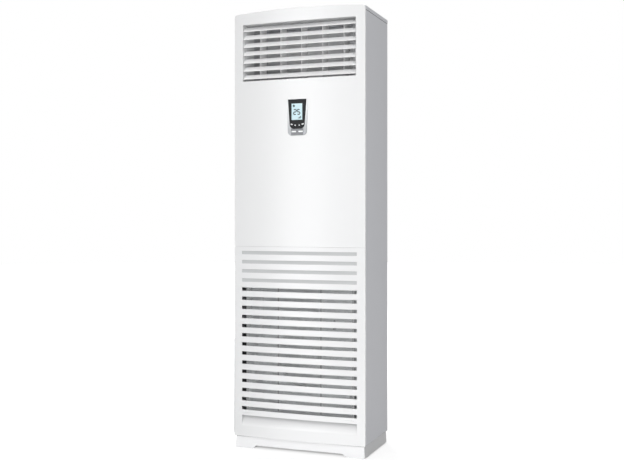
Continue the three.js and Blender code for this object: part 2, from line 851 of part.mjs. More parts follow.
// Vane link: a flat bar under the vanes that turns them together.
function vaneLink() {
  const bottom = (ductFloor + vaneBottom) / 2 - vaneLinkThickness / 2;
  const depth = -vanePivotDepth + vaneLinkReach;
  const half = vaneLinkWidth / 2;
  const reach = vanePlace(vaneCount - 1) + half;
  const span = [bottom, bottom + vaneLinkThickness];
  let body = block([-reach, reach], [depth - half, depth + half], span);
  for (let i = 0; i < vaneCount; i += 1) {
    const centre = { x: vanePlace(i), y: depth };
    body = body.subtract(rod('z', vaneLugRadius + runningFit, [ductFloor, vaneBottom], centre, pinSides));
  }
  place('vane_link', body, blackPlastic);
}

// Outlet frame: the short duct behind the louvers, with a front flange and a bore for each vane pin.
function outletFrame() {
  const half = ductHalfWidth + ductWall;
  const heights = [ductFloor - ductWall, ductCeiling + ductWall];
  const back = -ductFront + ductDepth;
  const flangeHalf = ductHalfWidth + ductFlange;
  const flangeHeights = [ductFloor - ductFlange / 2, ductCeiling + ductFlange / 2];
  let body = block([-half, half], [-ductFront, back], heights);
  body = body.add(block([-flangeHalf, flangeHalf], [-ductFront, -ductFront + ductWall], flangeHeights));
  body = body.subtract(block([-ductHalfWidth, ductHalfWidth], wholeDepth, [ductFloor, ductCeiling]));
  for (let i = 0; i < vaneCount; i += 1) {
    const centre = { x: vanePlace(i), y: -vanePivotDepth };
    const reach = [heights[0] - overrun, heights[1] + overrun];
    body = body.subtract(rod('z', vanePinRadius + runningFit, reach, centre, pinSides));
  }
  place('outlet_frame', body, ductPlastic);
}

// Vane motor: a small geared motor on the duct ceiling, over the middle vane, with two ears.
function vaneMotor() {
  const floor = ductCeiling + ductWall + gap;
  const centre = { x: vanePlace((vaneCount - 1) / 2), y: -vanePivotDepth };
  const earReach = vaneMotorRadius + vaneMotorEar;
  const top = floor + vaneMotorHeight;
  let body = rod('z', vaneMotorRadius, [floor, top], centre);
  const ears = block(
    [centre.x - earReach, centre.x + earReach],
    [centre.y - vaneMotorEar / 2, centre.y + vaneMotorEar / 2],
    [floor, floor + vaneMotorEarThickness],
  );
  body = body.add(ears);
  place('vane_motor', body, galvanised);
}

// Display bezel: the silver surround, open for the window and with two button holes.
function displayBezel() {
  const front = frontFace(0) - displayProud;
  const back = -displayBack;
  const through = [front - overrun, back + overrun];
  let body = prism(bezelOutline(), 'y', [front, back]);
  body = body.subtract(prism(windowOutline(gap), 'y', [front - overrun, front + windowThickness + gap]));
  body = body.subtract(prism(windowOutline(-windowRim), 'y', through));
  const behind = [front + windowThickness, back + overrun];
  for (const button of bezelButtons()) {
    const pocket = prism(button.outline(buttonShoulder + gap), 'y', behind);
    body = body.subtract(buttonHole(button, through)).subtract(pocket);
  }
  place('display_bezel', body, silverPlastic);
}

function windowOutline(margin = 0) {
  const heights = [windowBottom, displayBottom + displayHeight - windowRim];
  return displayOutline(windowTopWidth, windowFootWidth, heights, windowCorner, margin);
}

function buttonAt([x, rise], width, height) {
  const z = displayBottom + rise;
  const outline = (margin = 0) =>
    roundedRectangle(
      [x - width / 2 - margin, x + width / 2 + margin],
      [z - height / 2 - margin, z + height / 2 + margin],
      height / 2 + margin - gap,
    );
  return { outline };
}

function windowButtons() {
  return windowButtonPlaces.map((centre, i) => {
    const outer = i === 0 || i === windowButtonPlaces.length - 1;
    return buttonAt(centre, outer ? outerButtonWidth : innerButtonWidth, windowButtonHeight);
  });
}

function bezelButtons() {
  return bezelButtonPlaces.map((centre) => buttonAt(centre, bezelButtonWidth, bezelButtonHeight));
}

function buttonHole(button, span) {
  return prism(button.outline(gap), 'y', span);
}

// Display window: the black gloss plate, open for the screen and for four buttons.
function displayWindow() {
  const front = frontFace(0) - displayProud;
  const depth = [front, front + windowThickness];
  const lcd = lcdOutline(gap);
  let body = prism(windowOutline(), 'y', depth);
  body = body.subtract(prism(lcd, 'y', [front - overrun, front + windowThickness + overrun]));
  for (const button of windowButtons()) {
    body = body.subtract(buttonHole(button, [front - overrun, front + windowThickness + overrun]));
  }
  place('display_window', body, blackGloss);
}

function lcdOutline(margin = 0) {
  const half = lcdWidth / 2 + margin;
  const heights = [lcdBottom - margin, lcdBottom + lcdHeight + margin];
  return [[-half, heights[0]], [half, heights[0]], [half, heights[1]], [-half, heights[1]]];
}

function displayLcd() {
  const front = frontFace(0) - displayProud + lcdSink;
  place('display_lcd', prism(lcdOutline(), 'y', [front, front + lcdThickness]), lcdGlass);
}

// Display board: the circuit board behind the window, inside the bezel.
function displayBoard() {
  const front = -displayBack + gap;
  const body = prism(bezelOutline(gap - boardMargin), 'y', [front, front + boardThickness]);
  place('display_board', body, boardGreen);
}

// Push buttons: a cap through its hole, with a shoulder behind that keeps it in.
function buttons() {
  const face = frontFace(0) - displayProud;
  const back = -displayBack + gap - buttonTravelGap;
  const shoulderFront = face + windowThickness + gap;
  const shoulderSpan = [shoulderFront, shoulderFront + buttonShoulderDepth];
  const build = (name, button) => {
    const cap = prism(button.outline(), 'y', [face - buttonLift, back]);
    place(name, cap.add(prism(button.outline(buttonShoulder), 'y', shoulderSpan)), whitePlastic);
  };
  windowButtons().forEach((button, i) => build(`window_button_${i + 1}`, button));
  bezelButtons().forEach((button, i) => build(`bezel_button_${i + 1}`, button));
}

function pipeCoverScrew() {
  return { y: -pipeCoverFront + pipeCoverDepth / 2, z: (pipeCoverTop + pipeHoleTop) / 2 };
}

// Pipe cover: a shallow cap over the hole where the pipes leave, notched at the foot of its front edge.
function pipeCover() {
  const outer = -halfWidth - pipeCoverProud;
  const seat = -halfWidth - gap;
  const depth = [-pipeCoverFront, -pipeCoverFront + pipeCoverDepth];
  const heights = [panelFoot, pipeCoverTop];
  let body = block([outer, seat], depth, heights);
  const hollow = block(
    [outer + pipeCoverWall, seat + overrun],
    [depth[0] + pipeCoverWall, depth[1] - pipeCoverWall],
    [heights[0] + pipeCoverWall, heights[1] - pipeCoverWall],
  );
  body = body.subtract(hollow);
  const notch = block(
    [outer - overrun, seat + overrun],
    [depth[0] - overrun, depth[0] + pipeCoverNotch],
    [panelFoot - overrun, panelFoot + pipeCoverNotchHeight],
  );
  const notchWall = block(
    [outer, seat],
    [depth[0] + pipeCoverNotch, depth[0] + pipeCoverNotch + pipeCoverWall],
    [panelFoot, panelFoot + pipeCoverNotchHeight + pipeCoverWall],
  );
  const notchRoof = block(
    [outer, seat],
    [depth[0], depth[0] + pipeCoverNotch + pipeCoverWall],
    [panelFoot + pipeCoverNotchHeight, panelFoot + pipeCoverNotchHeight + pipeCoverWall],
  );
  body = body.subtract(notch).add(notchWall).add(notchRoof);
  const centre = pipeCoverScrew();
  const boss = rod('x', screwHeadRadius + gap, [outer, seat], centre);
  const bore = rod('x', screwRadius + gap, [outer - overrun, seat + overrun], centre, pinSides);
  place('pipe_cover', body.add(boss).subtract(bore), whitePlastic);
  const headFace = outer - gap;
  const head = rod('x', screwHeadRadius, [headFace - screwHeadHeight, headFace], centre);
  const shank = rod('x', screwRadius, [headFace - overrun, headFace + screwLength], centre, pinSides);
  place('pipe_cover_screw', head.add(shank), galvanised);
}

// Blower deck: the shelf over the blower room, open for the neck of the scroll, the pipes and the hose.
function blowerDeck() {
  const half = innerHalfWidth - gap;
  const front = insideFront + filterRailDepth + filterFrameThickness + gap;
  const through = [deckHeight - deckFlange - overrun, deckHeight + sheet + overrun];
  const outer = block([-half, half], [front, insideBack], [deckHeight - deckFlange, deckHeight + sheet]);
  const under = block(
    [-half + sheet, half - sheet],
    [front - overrun, insideBack - sheet],
    [through[0], deckHeight],
  );
  const neck = block(
    [neckPlace - gap, scrollEnd + gap],
    [scrollFront - gap, scrollFront + scrollDepth + gap],
    through,
  );
  let body = outer.subtract(under).subtract(neck);
  for (const [y, radius] of pipeLines()) {
    body = body.subtract(rod('z', radius + gap, through, { x: -pipeLine, y }));
  }
  const hoseBore = rod('z', hoseRadius + gap, through, { x: hosePlace, y: hoseDepth() });
  place('blower_deck', body.subtract(hoseBore), galvanised);
}

function pipeLines() {
  return [[-halfDepth + gasPipeInset, gasPipeRadius], [-halfDepth + liquidPipeInset, liquidPipeRadius]];
}

function hoseDepth() {
  return panFront + panDepth / 2;
}

// The scroll in elevation: a spiral that opens from the tongue round to the outer wall of the neck.
function scrollOutline(inset, top) {
  const left = neckPlace + inset;
  const start = scrollStart - inset;
  const tongue = Math.acos(left / start);
  const spiral = Array.from({ length: scrollSteps + 1 }, (_, i) => {
    const share = i / scrollSteps;
    const angle = tongue + (2 * Math.PI - tongue) * share;
    const radius = start + (scrollEnd - scrollStart) * share;
    return [radius * Math.cos(angle), fanHeight + radius * Math.sin(angle)];
  });
  return [[left, top], ...spiral, [scrollEnd - inset, top]];
}

// Blower housing: the scroll wall on its back plate, open at the top and round the motor.
function blowerHousing() {
  const back = scrollFront + scrollDepth;
  const top = deckHeight + sheet;
  let body = prism(scrollOutline(0, top), 'y', [scrollFront + scrollWall + gap, back]);
  const inside = [scrollFront - overrun, back - scrollWall];
  body = body.subtract(prism(scrollOutline(scrollWall, top + overrun), 'y', inside));
  const motorHole = [back - scrollWall - overrun, back + overrun];
  body = body.subtract(rod('y', motorRadius + motorHoleMargin, motorHole, { z: fanHeight }));
  place('blower_housing', body, galvanised);
}

// Blower front plate: closes the scroll, with the bell mouth that the fan wheel draws through.
function blowerFrontPlate() {
  const back = scrollFront + scrollWall;
  const lipBack = back + inletLipDepth;
  const centre = { z: fanHeight };
  const plate = prism(scrollOutline(0, deckHeight + sheet), 'y', [scrollFront, back]);
  const lip = rod('y', inletRadius + scrollWall, [scrollFront, lipBack], centre);
  const mouth = rod('y', inletRadius, [scrollFront - overrun, lipBack + overrun], centre);
  place('blower_front_plate', plate.add(lip).subtract(mouth), galvanised);
}

function fanFront() {
  return scrollFront + scrollWall + fanFrontGap;
}

// Fan wheel: forward-curved blades between a back disc and a front ring, on a hub that clamps the shaft.
function fanWheel() {
  const front = fanFront();
  const back = front + fanDepth;
  const radius = fanDiameter / 2;
  const disc = rod('y', radius, [back - fanDiscThickness, back], {});
  const ringInner = rod('y', radius - fanRingWidth, [front - overrun, front + fanRingWidth], {});
  const ring = rod('y', radius, [front, front + fanDiscThickness], {}).subtract(ringInner);
  const hubBack = back + fanDiscThickness;
  const hub = rod('y', hubRadius, [back - hubLength, hubBack], {});
  const bladeRoot = radius - fanBladeDepth;
  const half = fanBladeThickness / 2;
  const bow = (offset) =>
    Array.from({ length: bladeSteps + 1 }, (_, i) => {
      const share = i / bladeSteps;
      return [bladeRoot + (fanBladeDepth - half) * share, fanBladeBow * share ** 2 + offset];
    });
  const blade = prism([...bow(-half), ...bow(half).reverse()], 'y', [front, back - half]);
  let body = disc.add(ring).add(hub);
  for (let i = 0; i < fanBladeCount; i += 1) {
    body = body.add(blade.rotate([0, (360 * i) / fanBladeCount, 0]));
  }
  const bore = [back - hubLength + shaftRadius, hubBack + overrun];
  body = body.subtract(rod('y', shaftRadius + gap, bore, {}));
  place('fan_wheel', body.translate([0, 0, fanHeight]), galvanised);
}

function motorFace() {
  return fanFront() + fanDepth + fanFrontGap / 2;
}

// Fan motor: its case behind the wheel, with the shaft that carries the hub.
function fanMotor() {
  const face = motorFace();
  const middle = face + motorLength / 2;
  const centre = { z: fanHeight };
  const shaftEnd = fanFront() + fanDepth - hubLength + shaftRadius + gap;
  const boss = rod('y', hubRadius, [face - overrun, face + overrun], centre);
  const shaft = rod('y', shaftRadius, [shaftEnd, face + overrun], centre, pinSides);
  const body = rod('y', motorRadius, [face, face + motorLength], centre);
  const band = rod('y', motorRadius + bracketThickness, [middle, middle + bracketThickness], centre);
  place('fan_motor', body.add(shaft).add(boss).add(band), galvanised);
}

// Motor bracket: a ring behind the case's band, on four arms that reach the back plate of the scroll.
function motorBracket() {
  const front = motorFace() + motorLength / 2 + bracketThickness + gap;
  const depth = [front, front + bracketThickness];
  const outer = motorRadius + bracketRing;
  const reach = outer + motorHoleMargin + bracketWidth;
  const centre = { z: fanHeight };
  const seat = scrollFront + scrollDepth + gap;
  const half = bracketWidth / 2;
  const inner = reach - bracketThickness;
  let body = rod('y', outer, depth, centre);
  for (const turn of [0, 90]) {
    const arm = block([-reach, reach], depth, [-half, half]);
    const feet = blockPair([inner, reach], [seat, depth[1]], [-half, half]);
    const pads = blockPair([inner, reach + half], [seat, seat + bracketThickness], [-half, half]);
    body = body.add(arm.add(feet).add(pads).rotate([0, turn, 0]).translate([0, 0, fanHeight]));
  }
  body = body.subtract(rod('y', motorRadius + gap, [depth[0] - overrun, depth[1] + overrun], centre));
  place('motor_bracket', body, galvanised);
}

// A solid built upright about the coil's foot, leant back with the coil.
function leant(body) {
  const rise = coilTop - coilBottom;
  const lean = THREE.MathUtils.radToDeg(Math.atan2(coilHeadDepth - coilFootDepth, rise));
  return body.rotate([-lean, 0, 0]).translate([0, coilFootDepth, coilBottom]);
}

function coilLength() {
  return Math.hypot(coilTop - coilBottom, coilHeadDepth - coilFootDepth);
}

// Heat exchanger: the fin block between two end plates, whose outer faces carry the tube bends.
function coil() {
  const half = coilWidth / 2;
  const thick = coilThickness / 2;
  const length = coilLength();
  place('coil_core', leant(block([-half + gap, half - gap], [-thick, thick], [0, length])), aluminium);
  const plateDepth = [-thick - endPlateMargin, thick + endPlateMargin];
  const outer = half + endPlateThickness;
  const root = half + endPlateThickness / 2;
  const pitch = length / (bendCount + bendSpare);
  let body = block([half, outer], plateDepth, [-panHeight - endPlateMargin, length]);
  for (let i = 0; i < bendCount; i += 1) {
    const z = pitch * (i + 1 / 2);
    const run = new THREE.CatmullRomCurve3([
      new THREE.Vector3(root, 0, z - bendRadius),
      new THREE.Vector3(outer + bendReach, 0, z - bendRadius / 2),
      new THREE.Vector3(outer + bendReach, 0, z + bendRadius / 2),
      new THREE.Vector3(root, 0, z + bendRadius),
    ]);
    body = body.add(tube(run, tubeRadius, bendSteps));
  }
  body = body.subtract(block([0, half], plateDepth, [-length, length]));
  const panFloor = panBottom + panWall + gap;
  const belowHeight = [panBottom - panHeight, panFloor];
  const below = block([-halfWidth, halfWidth], [-halfDepth, halfDepth], belowHeight);
  const right = leant(body).subtract(below);
  place('coil_end_plate_right', right, copper);
  place('coil_end_plate_left', right.mirror([1, 0, 0]), copper);
}

// A round tube along a curve.
function tube(path, radius, steps) {
  const circle = new THREE.Shape();
  circle.absarc(0, 0, radius, 0, Math.PI * 2, false);
  const settings = { steps, extrudePath: path, curveSegments: tubeSides / 2, bevelEnabled: false };
  return solid(new THREE.ExtrudeGeometry(circle, settings));
}

// Drain pan: a tray under the coil, on two supports that stand on the deck, with a spout for the hose.
function drainPan() {
  const half = panWidth / 2;
  const depth = [panFront, panFront + panDepth];
  const top = panBottom + panHeight;
  const outer = block([-half, half], depth, [panBottom, top]);
  const hollow = block(
    [-half + panWall, half - panWall],
    [depth[0] + panWall, depth[1] - panWall],
    [panBottom + panWall, top + overrun],
  );
  const supportHeight = [deckHeight + sheet + gap, panBottom + overrun];
  const supports = blockPair([half - panSupport, half], depth, supportHeight);
  const spoutCentre = { x: hosePlace, y: hoseDepth() };
  const spoutRadius = hoseRadius - hoseWall - 2 * gap;
  const spoutFoot = panBottom - spoutLength;
  const boreSpan = [spoutFoot - overrun, panBottom + panHeight];
  const spout = rod('z', spoutRadius, [spoutFoot, panBottom + overrun], spoutCentre);
  const bore = rod('z', spoutRadius - hoseWall, boreSpan, spoutCentre);
  place('drain_pan', outer.subtract(hollow).add(supports).add(spout).subtract(bore), blackPlastic);
}

// Drain hose: pushed over the spout, down through the deck and forward to the pipe hole.
function drainHose() {
  const y = hoseDepth();
  const tail = -pipeCoverFront + pipeCoverDepth / 2;
  const route = (lengthen) =>
    new THREE.CatmullRomCurve3([
      new THREE.Vector3(hosePlace, y, panBottom - gap + lengthen),
      new THREE.Vector3(hosePlace, y, panBottom - spoutLength),
      new THREE.Vector3(hosePlace, y, deckHeight),
      new THREE.Vector3(hosePlace, y, (deckHeight + hoseTurn) / 2),
      new THREE.Vector3(hosePlace, (y + tail) / 2, hoseTurn),
      new THREE.Vector3(hosePlace, tail, (hoseTurn + hoseEnd) / 2),
      new THREE.Vector3(hosePlace, tail, hoseEnd - lengthen),
    ]);
  const outer = tube(route(0), hoseRadius, hoseSteps);
  const body = outer.subtract(tube(route(overrun), hoseRadius - hoseWall, hoseSteps));
  place('drain_hose', body, hosePlastic);
}

// Refrigerant pipes: copper in foam sleeves, from the coil's left end plate down to the flare nuts.
function pipes() {
  const plateFace = -coilWidth / 2 - endPlateThickness - gap;
  const lean = Math.atan2(coilHeadDepth - coilFootDepth, coilTop - coilBottom);
  const pipe = (name, radius, start, runInset, tailInset) => {
    const startY = coilFootDepth + start * Math.sin(lean);
    const startZ = coilBottom + start * Math.cos(lean);
    const runY = -halfDepth + runInset;
    const tailY = -halfDepth + tailInset;
    const run = new THREE.CatmullRomCurve3(
      [
        new THREE.Vector3(plateFace, startY, startZ),
        new THREE.Vector3(plateFace - pipeStub, startY, startZ),
        new THREE.Vector3(-pipeLine, (startY + runY) / 2, startZ - pipeFall),
        new THREE.Vector3(-pipeLine, runY, startZ - pipeBendHeight),
        new THREE.Vector3(-pipeLine, runY, deckHeight),
        new THREE.Vector3(-pipeLine, runY, deckHeight - pipeTurnHeight),
        new THREE.Vector3(-pipeLine, tailY, hoseTurn),
        new THREE.Vector3(-pipeLine, tailY, pipeEnd),
      ],
      false,
      'centripetal',
    );
    const nutRadius = radius + flareNutSpare;
    const nut = new THREE.CylinderGeometry(nutRadius, nutRadius, flareNutLength, nutSides);
    nut.rotateX(Math.PI / 2);
    nut.translate(-pipeLine, tailY, pipeEnd);
    place(name, tube(run, radius, hoseSteps).add(solid(nut)), pipeSleeve);
  };
  pipe('gas_pipe', gasPipeRadius, gasPipeStart, gasPipeInset, gasTailInset);
  pipe('liquid_pipe', liquidPipeRadius, liquidPipeStart, liquidPipeInset, liquidTailInset);
}

// Duct front wall: a steel sheet from the deck up to the outlet duct.
function ductFrontWall() {
  const half = halfWidth - sideFlange / 2;
  const heights = [deckHeight + sheet + gap, ductFloor - ductWall - gap];
  const depth = [-ductWallDepth, -ductWallDepth + sheet];
  place('duct_front_wall', block([-half, half], depth, heights), galvanised);
}

// Duct liner: grey foam on the inside of the rear panel.
function ductLiner() {
  const back = rearFace - gap;
  const half = linerWidth / 2;
  place('duct_liner', block([-half, half], [back - linerThickness, back], [linerBottom, linerTop]), foam);
}

// Electric box: a tray on the duct wall with its cover, and the board on spacers with a terminal block.
function electricBox() {
  const half = boxWidth / 2;
  const back = -ductWallDepth - gap;
  const depth = [-boxFront, back];
  const heights = [boxBottom, boxBottom + boxHeight];
  const hollow = block(
    [-half + boxWall, half - boxWall],
    [depth[0] - overrun, back - boxWall],
    [heights[0] + boxWall, heights[1] - boxWall],
  );
  place('electric_box', block([-half, half], depth, heights).subtract(hollow), galvanised);
  const coverFace = -boxFront - gap;
  place('electric_box_cover', block([-half, half], [coverFace - sheet, coverFace], heights), galvanised);
  const floor = back - boxWall - gap;
  const boardFace = floor - boardSpacer;
  const edge = half - boxWall - boardEdge;
  const boardHeights = [heights[0] + boxWall + boardEdge, heights[1] - boxWall - boardEdge];
  let board = block([-edge, edge], [boardFace - boardThickness, boardFace], boardHeights);
  const post = boardEdge / 2;
  for (const x of [-edge + post, edge - post]) {
    for (const z of [boardHeights[0] + post, boardHeights[1] - post]) {
      board = board.add(rod('y', screwHeadRadius, [boardFace - overrun, floor], { x, z }, pinSides));
    }
  }
  const blockTop = boardHeights[0] + 2 * boardEdge;
  board = board.add(block([0, edge], [boardFace - boardEdge, boardFace], [boardHeights[0], blockTop]));
  place('control_board', board, boardGreen);
}

// Cable gland: the collared bush in the rear panel that the mains lead would pass through.
function cableGland() {
  const outside = halfDepth + gap;
  const centre = { x: glandPlace, z: glandHeight };
  const boreSpan = [rearFace - glandReach - overrun, outside + glandCollar + overrun];
  const bore = rod('y', glandBore, boreSpan, centre);
  const collar = rod('y', glandRadius + glandCollar, [outside, outside + glandCollar], centre);
  const body = rod('y', glandRadius, [rearFace - glandReach, outside + overrun], centre).add(collar);
  place('cable_gland', body.subtract(bore), blackPlastic);
}

// Wall bracket: a slotted plate at the top of the rear panel that ties the cabinet to a wall.
function wallBracket() {
  const front = halfDepth + gap;
  const depth = [front, front + bracketPlateThickness];
  const half = bracketPlateWidth / 2;
  const plateHeight = [bracketTop - bracketPlateHeight, bracketTop];
  let body = prism(roundedRectangle([-half, half], plateHeight, cornerRadius), 'y', depth);
  const middle = bracketTop - bracketPlateHeight / 2;
  const slotHalf = bracketSlotWidth / 2;
  const height = [middle - bracketSlotLength / 2, middle + bracketSlotLength / 2];
  for (const x of [-bracketSlotPlace, bracketSlotPlace]) {
    const slot = roundedRectangle([x - slotHalf, x + slotHalf], height, slotHalf - gap);
    body = body.subtract(prism(slot, 'y', [depth[0] - overrun, depth[1] + overrun]));
  }
  place('wall_bracket', body, galvanised);
}

// Room sensor: a small bulb on a clip at the front of the scroll, in the air that is drawn in.
function roomSensor() {
  const back = scrollFront - gap;
  const x = inletRadius;
  const z = fanHeight + inletRadius;
  const half = sensorClip / 2;
  const clip = block([x - half, x + half], [back - sensorClip, back], [z - half, z + half]);
  const bulb = rod('z', sensorRadius, [z - half, z + sensorLength], { x, y: back - half });
  place('room_sensor', clip.add(bulb), blackPlastic);
}

plinth();
basePan();
sidePanels();
rearPanel();
topCover();
upperFrontPanel();
intakeGrille();
slotBlankingPlate();
airFilter();
louvers();
louverLink();
outletFrame();
vanes();
vaneLink();
vaneMotor();
displayBezel();
displayWindow();
displayLcd();
displayBoard();
buttons();
pipeCover();
blowerDeck();
blowerHousing();
blowerFrontPlate();
fanWheel();
fanMotor();
motorBracket();
coil();
drainPan();
drainHose();
pipes();
ductFrontWall();
ductLiner();
electricBox();
cableGland();
wallBracket();
roomSensor();

export default unit;
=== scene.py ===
# A floor-standing indoor air conditioner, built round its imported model.
from math import cos, pi, radians, sin

import bmesh
import bpy
from mathutils import Matrix, Vector


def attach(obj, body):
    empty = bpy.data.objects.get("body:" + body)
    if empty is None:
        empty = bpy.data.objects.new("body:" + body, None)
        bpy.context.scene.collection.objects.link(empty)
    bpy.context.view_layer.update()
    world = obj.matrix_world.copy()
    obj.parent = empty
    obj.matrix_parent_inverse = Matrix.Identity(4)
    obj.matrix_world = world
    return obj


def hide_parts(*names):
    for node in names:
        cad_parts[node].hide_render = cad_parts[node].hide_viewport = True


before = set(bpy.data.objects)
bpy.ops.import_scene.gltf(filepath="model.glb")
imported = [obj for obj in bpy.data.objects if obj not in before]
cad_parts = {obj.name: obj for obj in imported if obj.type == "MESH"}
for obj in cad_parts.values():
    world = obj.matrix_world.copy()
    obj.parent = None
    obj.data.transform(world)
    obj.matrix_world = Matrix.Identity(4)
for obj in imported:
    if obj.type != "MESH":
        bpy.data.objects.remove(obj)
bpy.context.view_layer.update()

# Camera and lamps: the camera stands level, to the right of the front, as the photograph's does.
# Its place and lens come from the cabinet's corners and the lines of the grille slots. A low sun and
# three soft lamps light the front and shade it from left to right, and a fourth lamp lights the back.
camera_data = bpy.data.cameras.new("camera")
camera_data.sensor_width = 36
camera_data.lens = 53.76
camera_data.shift_y = -0.0201
camera = bpy.data.objects.new("camera", camera_data)
camera.location = (1.2351, -3.2232, 0.8403)
camera.rotation_euler = (pi / 2, 0, 0.366)
bpy.context.collection.objects.link(camera)
bpy.context.scene.camera = camera
bpy.context.scene.view_settings.view_transform = "Standard"


def area_lamp(name, place, target, size, watts):
    data = bpy.data.lights.new(name, "AREA")
    data.shape = "RECTANGLE"
    data.size, data.size_y = size
    data.energy = watts
    lamp = bpy.data.objects.new(name, data)
    lamp.location = place
    lamp.rotation_euler = (Vector(target) - Vector(place)).to_track_quat("-Z", "Y").to_euler()
    bpy.context.collection.objects.link(lamp)


key_light = bpy.data.lights.new("key_light", "SUN")
key_light.energy = 1.27
key_light.angle = 1.5
key_lamp = bpy.data.objects.new("key_lamp", key_light)
key_lamp.rotation_euler = Vector((-0.32, 1, -0.42)).to_track_quat("-Z", "Y").to_euler()
bpy.context.collection.objects.link(key_lamp)
area_lamp("front_softbox", (2.0, -2.2, 1.3), (0, -0.14, 0.8), (0.9, 3.4), 17)
area_lamp("highlight_strip", (-1.09, -3.0, 1.2), (0, -0.14, 0.8), (0.6, 2.6), 14.5)
area_lamp("low_fill", (1.1, -3.2, 0.25), (0, -0.14, 1.25), (1.6, 0.45), 31)
area_lamp("rear_lamp", (-2.6, 3.6, 2.2), (0, 0, 0.8), (2.4, 2.4), 125)


# Floor and backdrop: a pale studio sweep, white away from the cabinet, that keeps its soft shadow.
# Its glow is left out under the cabinet, which paints shade under the plinth. The coated panels
# mirror it, and a bright band on it in front of the cabinet, seen only in reflections, is a
# painted reflection on the lower front.
# The finishes of all pieces are made with the two classes that are defined here.
class Socket:
    """An output socket that can stand in a Python sum."""

    def __init__(self, finish, output):
        self.finish = finish
        self.output = output

    def maths(self, operation, first, second):
        return self.finish.node("ShaderNodeMath", {"operation": operation}, {0: first, 1: second})

    def __add__(self, other):
        return self.maths("ADD", self, other)

    def __radd__(self, other):
        return self.maths("ADD", other, self)

    def __sub__(self, other):
        return self.maths("SUBTRACT", self, other)

    def __rsub__(self, other):
        return self.maths("SUBTRACT", other, self)

    def __mul__(self, other):
        return self.maths("MULTIPLY", self, other)

    def __rmul__(self, other):
        return self.maths("MULTIPLY", other, self)

    def __gt__(self, other):
        return self.maths("GREATER_THAN", self, other)

    def __lt__(self, other):
        return self.maths("LESS_THAN", self, other)

    def __abs__(self):
        return self.finish.node("ShaderNodeMath", {"operation": "ABSOLUTE"}, {0: self})


class Finish:
    """One material: its shader, and the nodes that feed it."""

    def __init__(self, name, colour, roughness, metallic=0.0, **fixed):
        self.material = bpy.data.materials.new(name)
        self.material.use_nodes = True
        self.tree = self.material.node_tree
        self.shader = self.tree.nodes["Principled BSDF"]
        self.feed("Base Color", (*colour, 1))
        self.feed("Roughness", roughness)
        self.feed("Metallic", metallic)
        for socket, value in fixed.items():
            self.feed(socket.replace("_", " ").title().replace("Ior", "IOR"), value)
        self.place = self.node("ShaderNodeTexCoord", output="Object")

    def node(self, kind, settings=None, sockets=None, output=0):
        """A node, with its settings made first and then the values or links of its sockets."""
        node = self.tree.nodes.new(kind)
        for setting, value in (settings or {}).items():
            if setting == "stops":
                for element, (at, colour) in zip(node.color_ramp.elements, value):
                    element.position = at
                    element.color = colour
            else:
                setattr(node, setting, value)
        for key, value in (sockets or {}).items():
            self.join(node.inputs[key], value)
        return Socket(self, node.outputs[output])

    def join(self, target, value):
        if isinstance(value, Socket):
            self.tree.links.new(value.output, target)
        else:
            target.default_value = value

    def feed(self, socket, value):
        self.join(self.shader.inputs[socket], value)

    def along(self, axis):
        """The place on one axis, in metres."""
        return self.node("ShaderNodeSeparateXYZ", {}, {0: self.place}, output=axis)

    def noise(self, scale, detail=2.0):
        sockets = {"Vector": self.place, "Scale": scale, "Detail": detail}
        return self.node("ShaderNodeTexNoise", {}, sockets)

    def mixed(self, share, first, second):
        """A colour between two others, each of them three numbers or a socket."""
        first, second = (end if isinstance(end, Socket) else (*end, 1) for end in (first, second))
        sockets = {0: share, 6: first, 7: second}
        return self.node("ShaderNodeMix", {"data_type": "RGBA"}, sockets, output=2)

    def ramp(self, value, low, high):
        """A number brought to 0 to 1 between two values of another, without going past them."""
        sockets = {"Value": value, "From Min": low, "From Max": high}
        return self.node("ShaderNodeMapRange", {}, sockets)

    def bump(self, height, distance, strength=1.0):
        sockets = {"Height": height, "Distance": distance, "Strength": strength}
        self.feed("Normal", self.node("ShaderNodeBump", {}, sockets))


FLOOR_RADIUS = 14.0
bpy.ops.object.select_all(action="DESELECT")
bpy.ops.mesh.primitive_circle_add(vertices=96, radius=FLOOR_RADIUS, fill_type="NGON")
floor = bpy.context.active_object
floor.name = "studio_floor"
FLOOR_GLOW = 3.0
PAINTED_REFLECTION_GLOW = 2.0
PAINTED_REFLECTION_EDGE = -0.2
sweep = Finish("studio_white", (0.3, 0.3, 0.3), 0.9, emission_strength=FLOOR_GLOW)
watched = sweep.node("ShaderNodeLightPath", output="Is Camera Ray")
mirrored = sweep.node("ShaderNodeLightPath", output="Is Glossy Ray")
seen = sweep.node("ShaderNodeMath", {"operation": "MAXIMUM"}, {0: watched, 1: mirrored})
distance = sweep.node("ShaderNodeVectorMath", {"operation": "LENGTH"}, {0: sweep.place}, output="Value")
far = sweep.ramp(distance, 0.3, 1.4)
past_sides = sweep.ramp(abs(sweep.along("X")), 0.235, 0.255)
past_front = sweep.ramp(abs(sweep.along("Y")), 0.07, 0.128)
# Painted shade: the floor's glow is left out under the cabinet's footprint, so the floor shows dark under
# the plinth.
outside_painted_shade = sweep.node("ShaderNodeMath", {"operation": "MAXIMUM"}, {0: past_sides, 1: past_front})
# Painted reflection: a bright band of floor in front of the cabinet, seen only in reflections, brightens
# the lower front.
aside = sweep.along("X") - 0.45 * sweep.along("Y")
painted_reflection_span = sweep.ramp(aside, -0.25, 0.05) * (1 - sweep.ramp(aside, 0.4, 0.8))
painted_reflection = PAINTED_REFLECTION_GLOW * mirrored * painted_reflection_span * (sweep.along("Y") < PAINTED_REFLECTION_EDGE)
level = (seen * outside_painted_shade * (0.77 + 0.23 * far) + painted_reflection) * (1 / FLOOR_GLOW)
sweep.feed("Emission Color", sweep.node("ShaderNodeCombineColor", {}, {0: level, 1: level, 2: level}))
floor.data.materials.append(sweep.material)

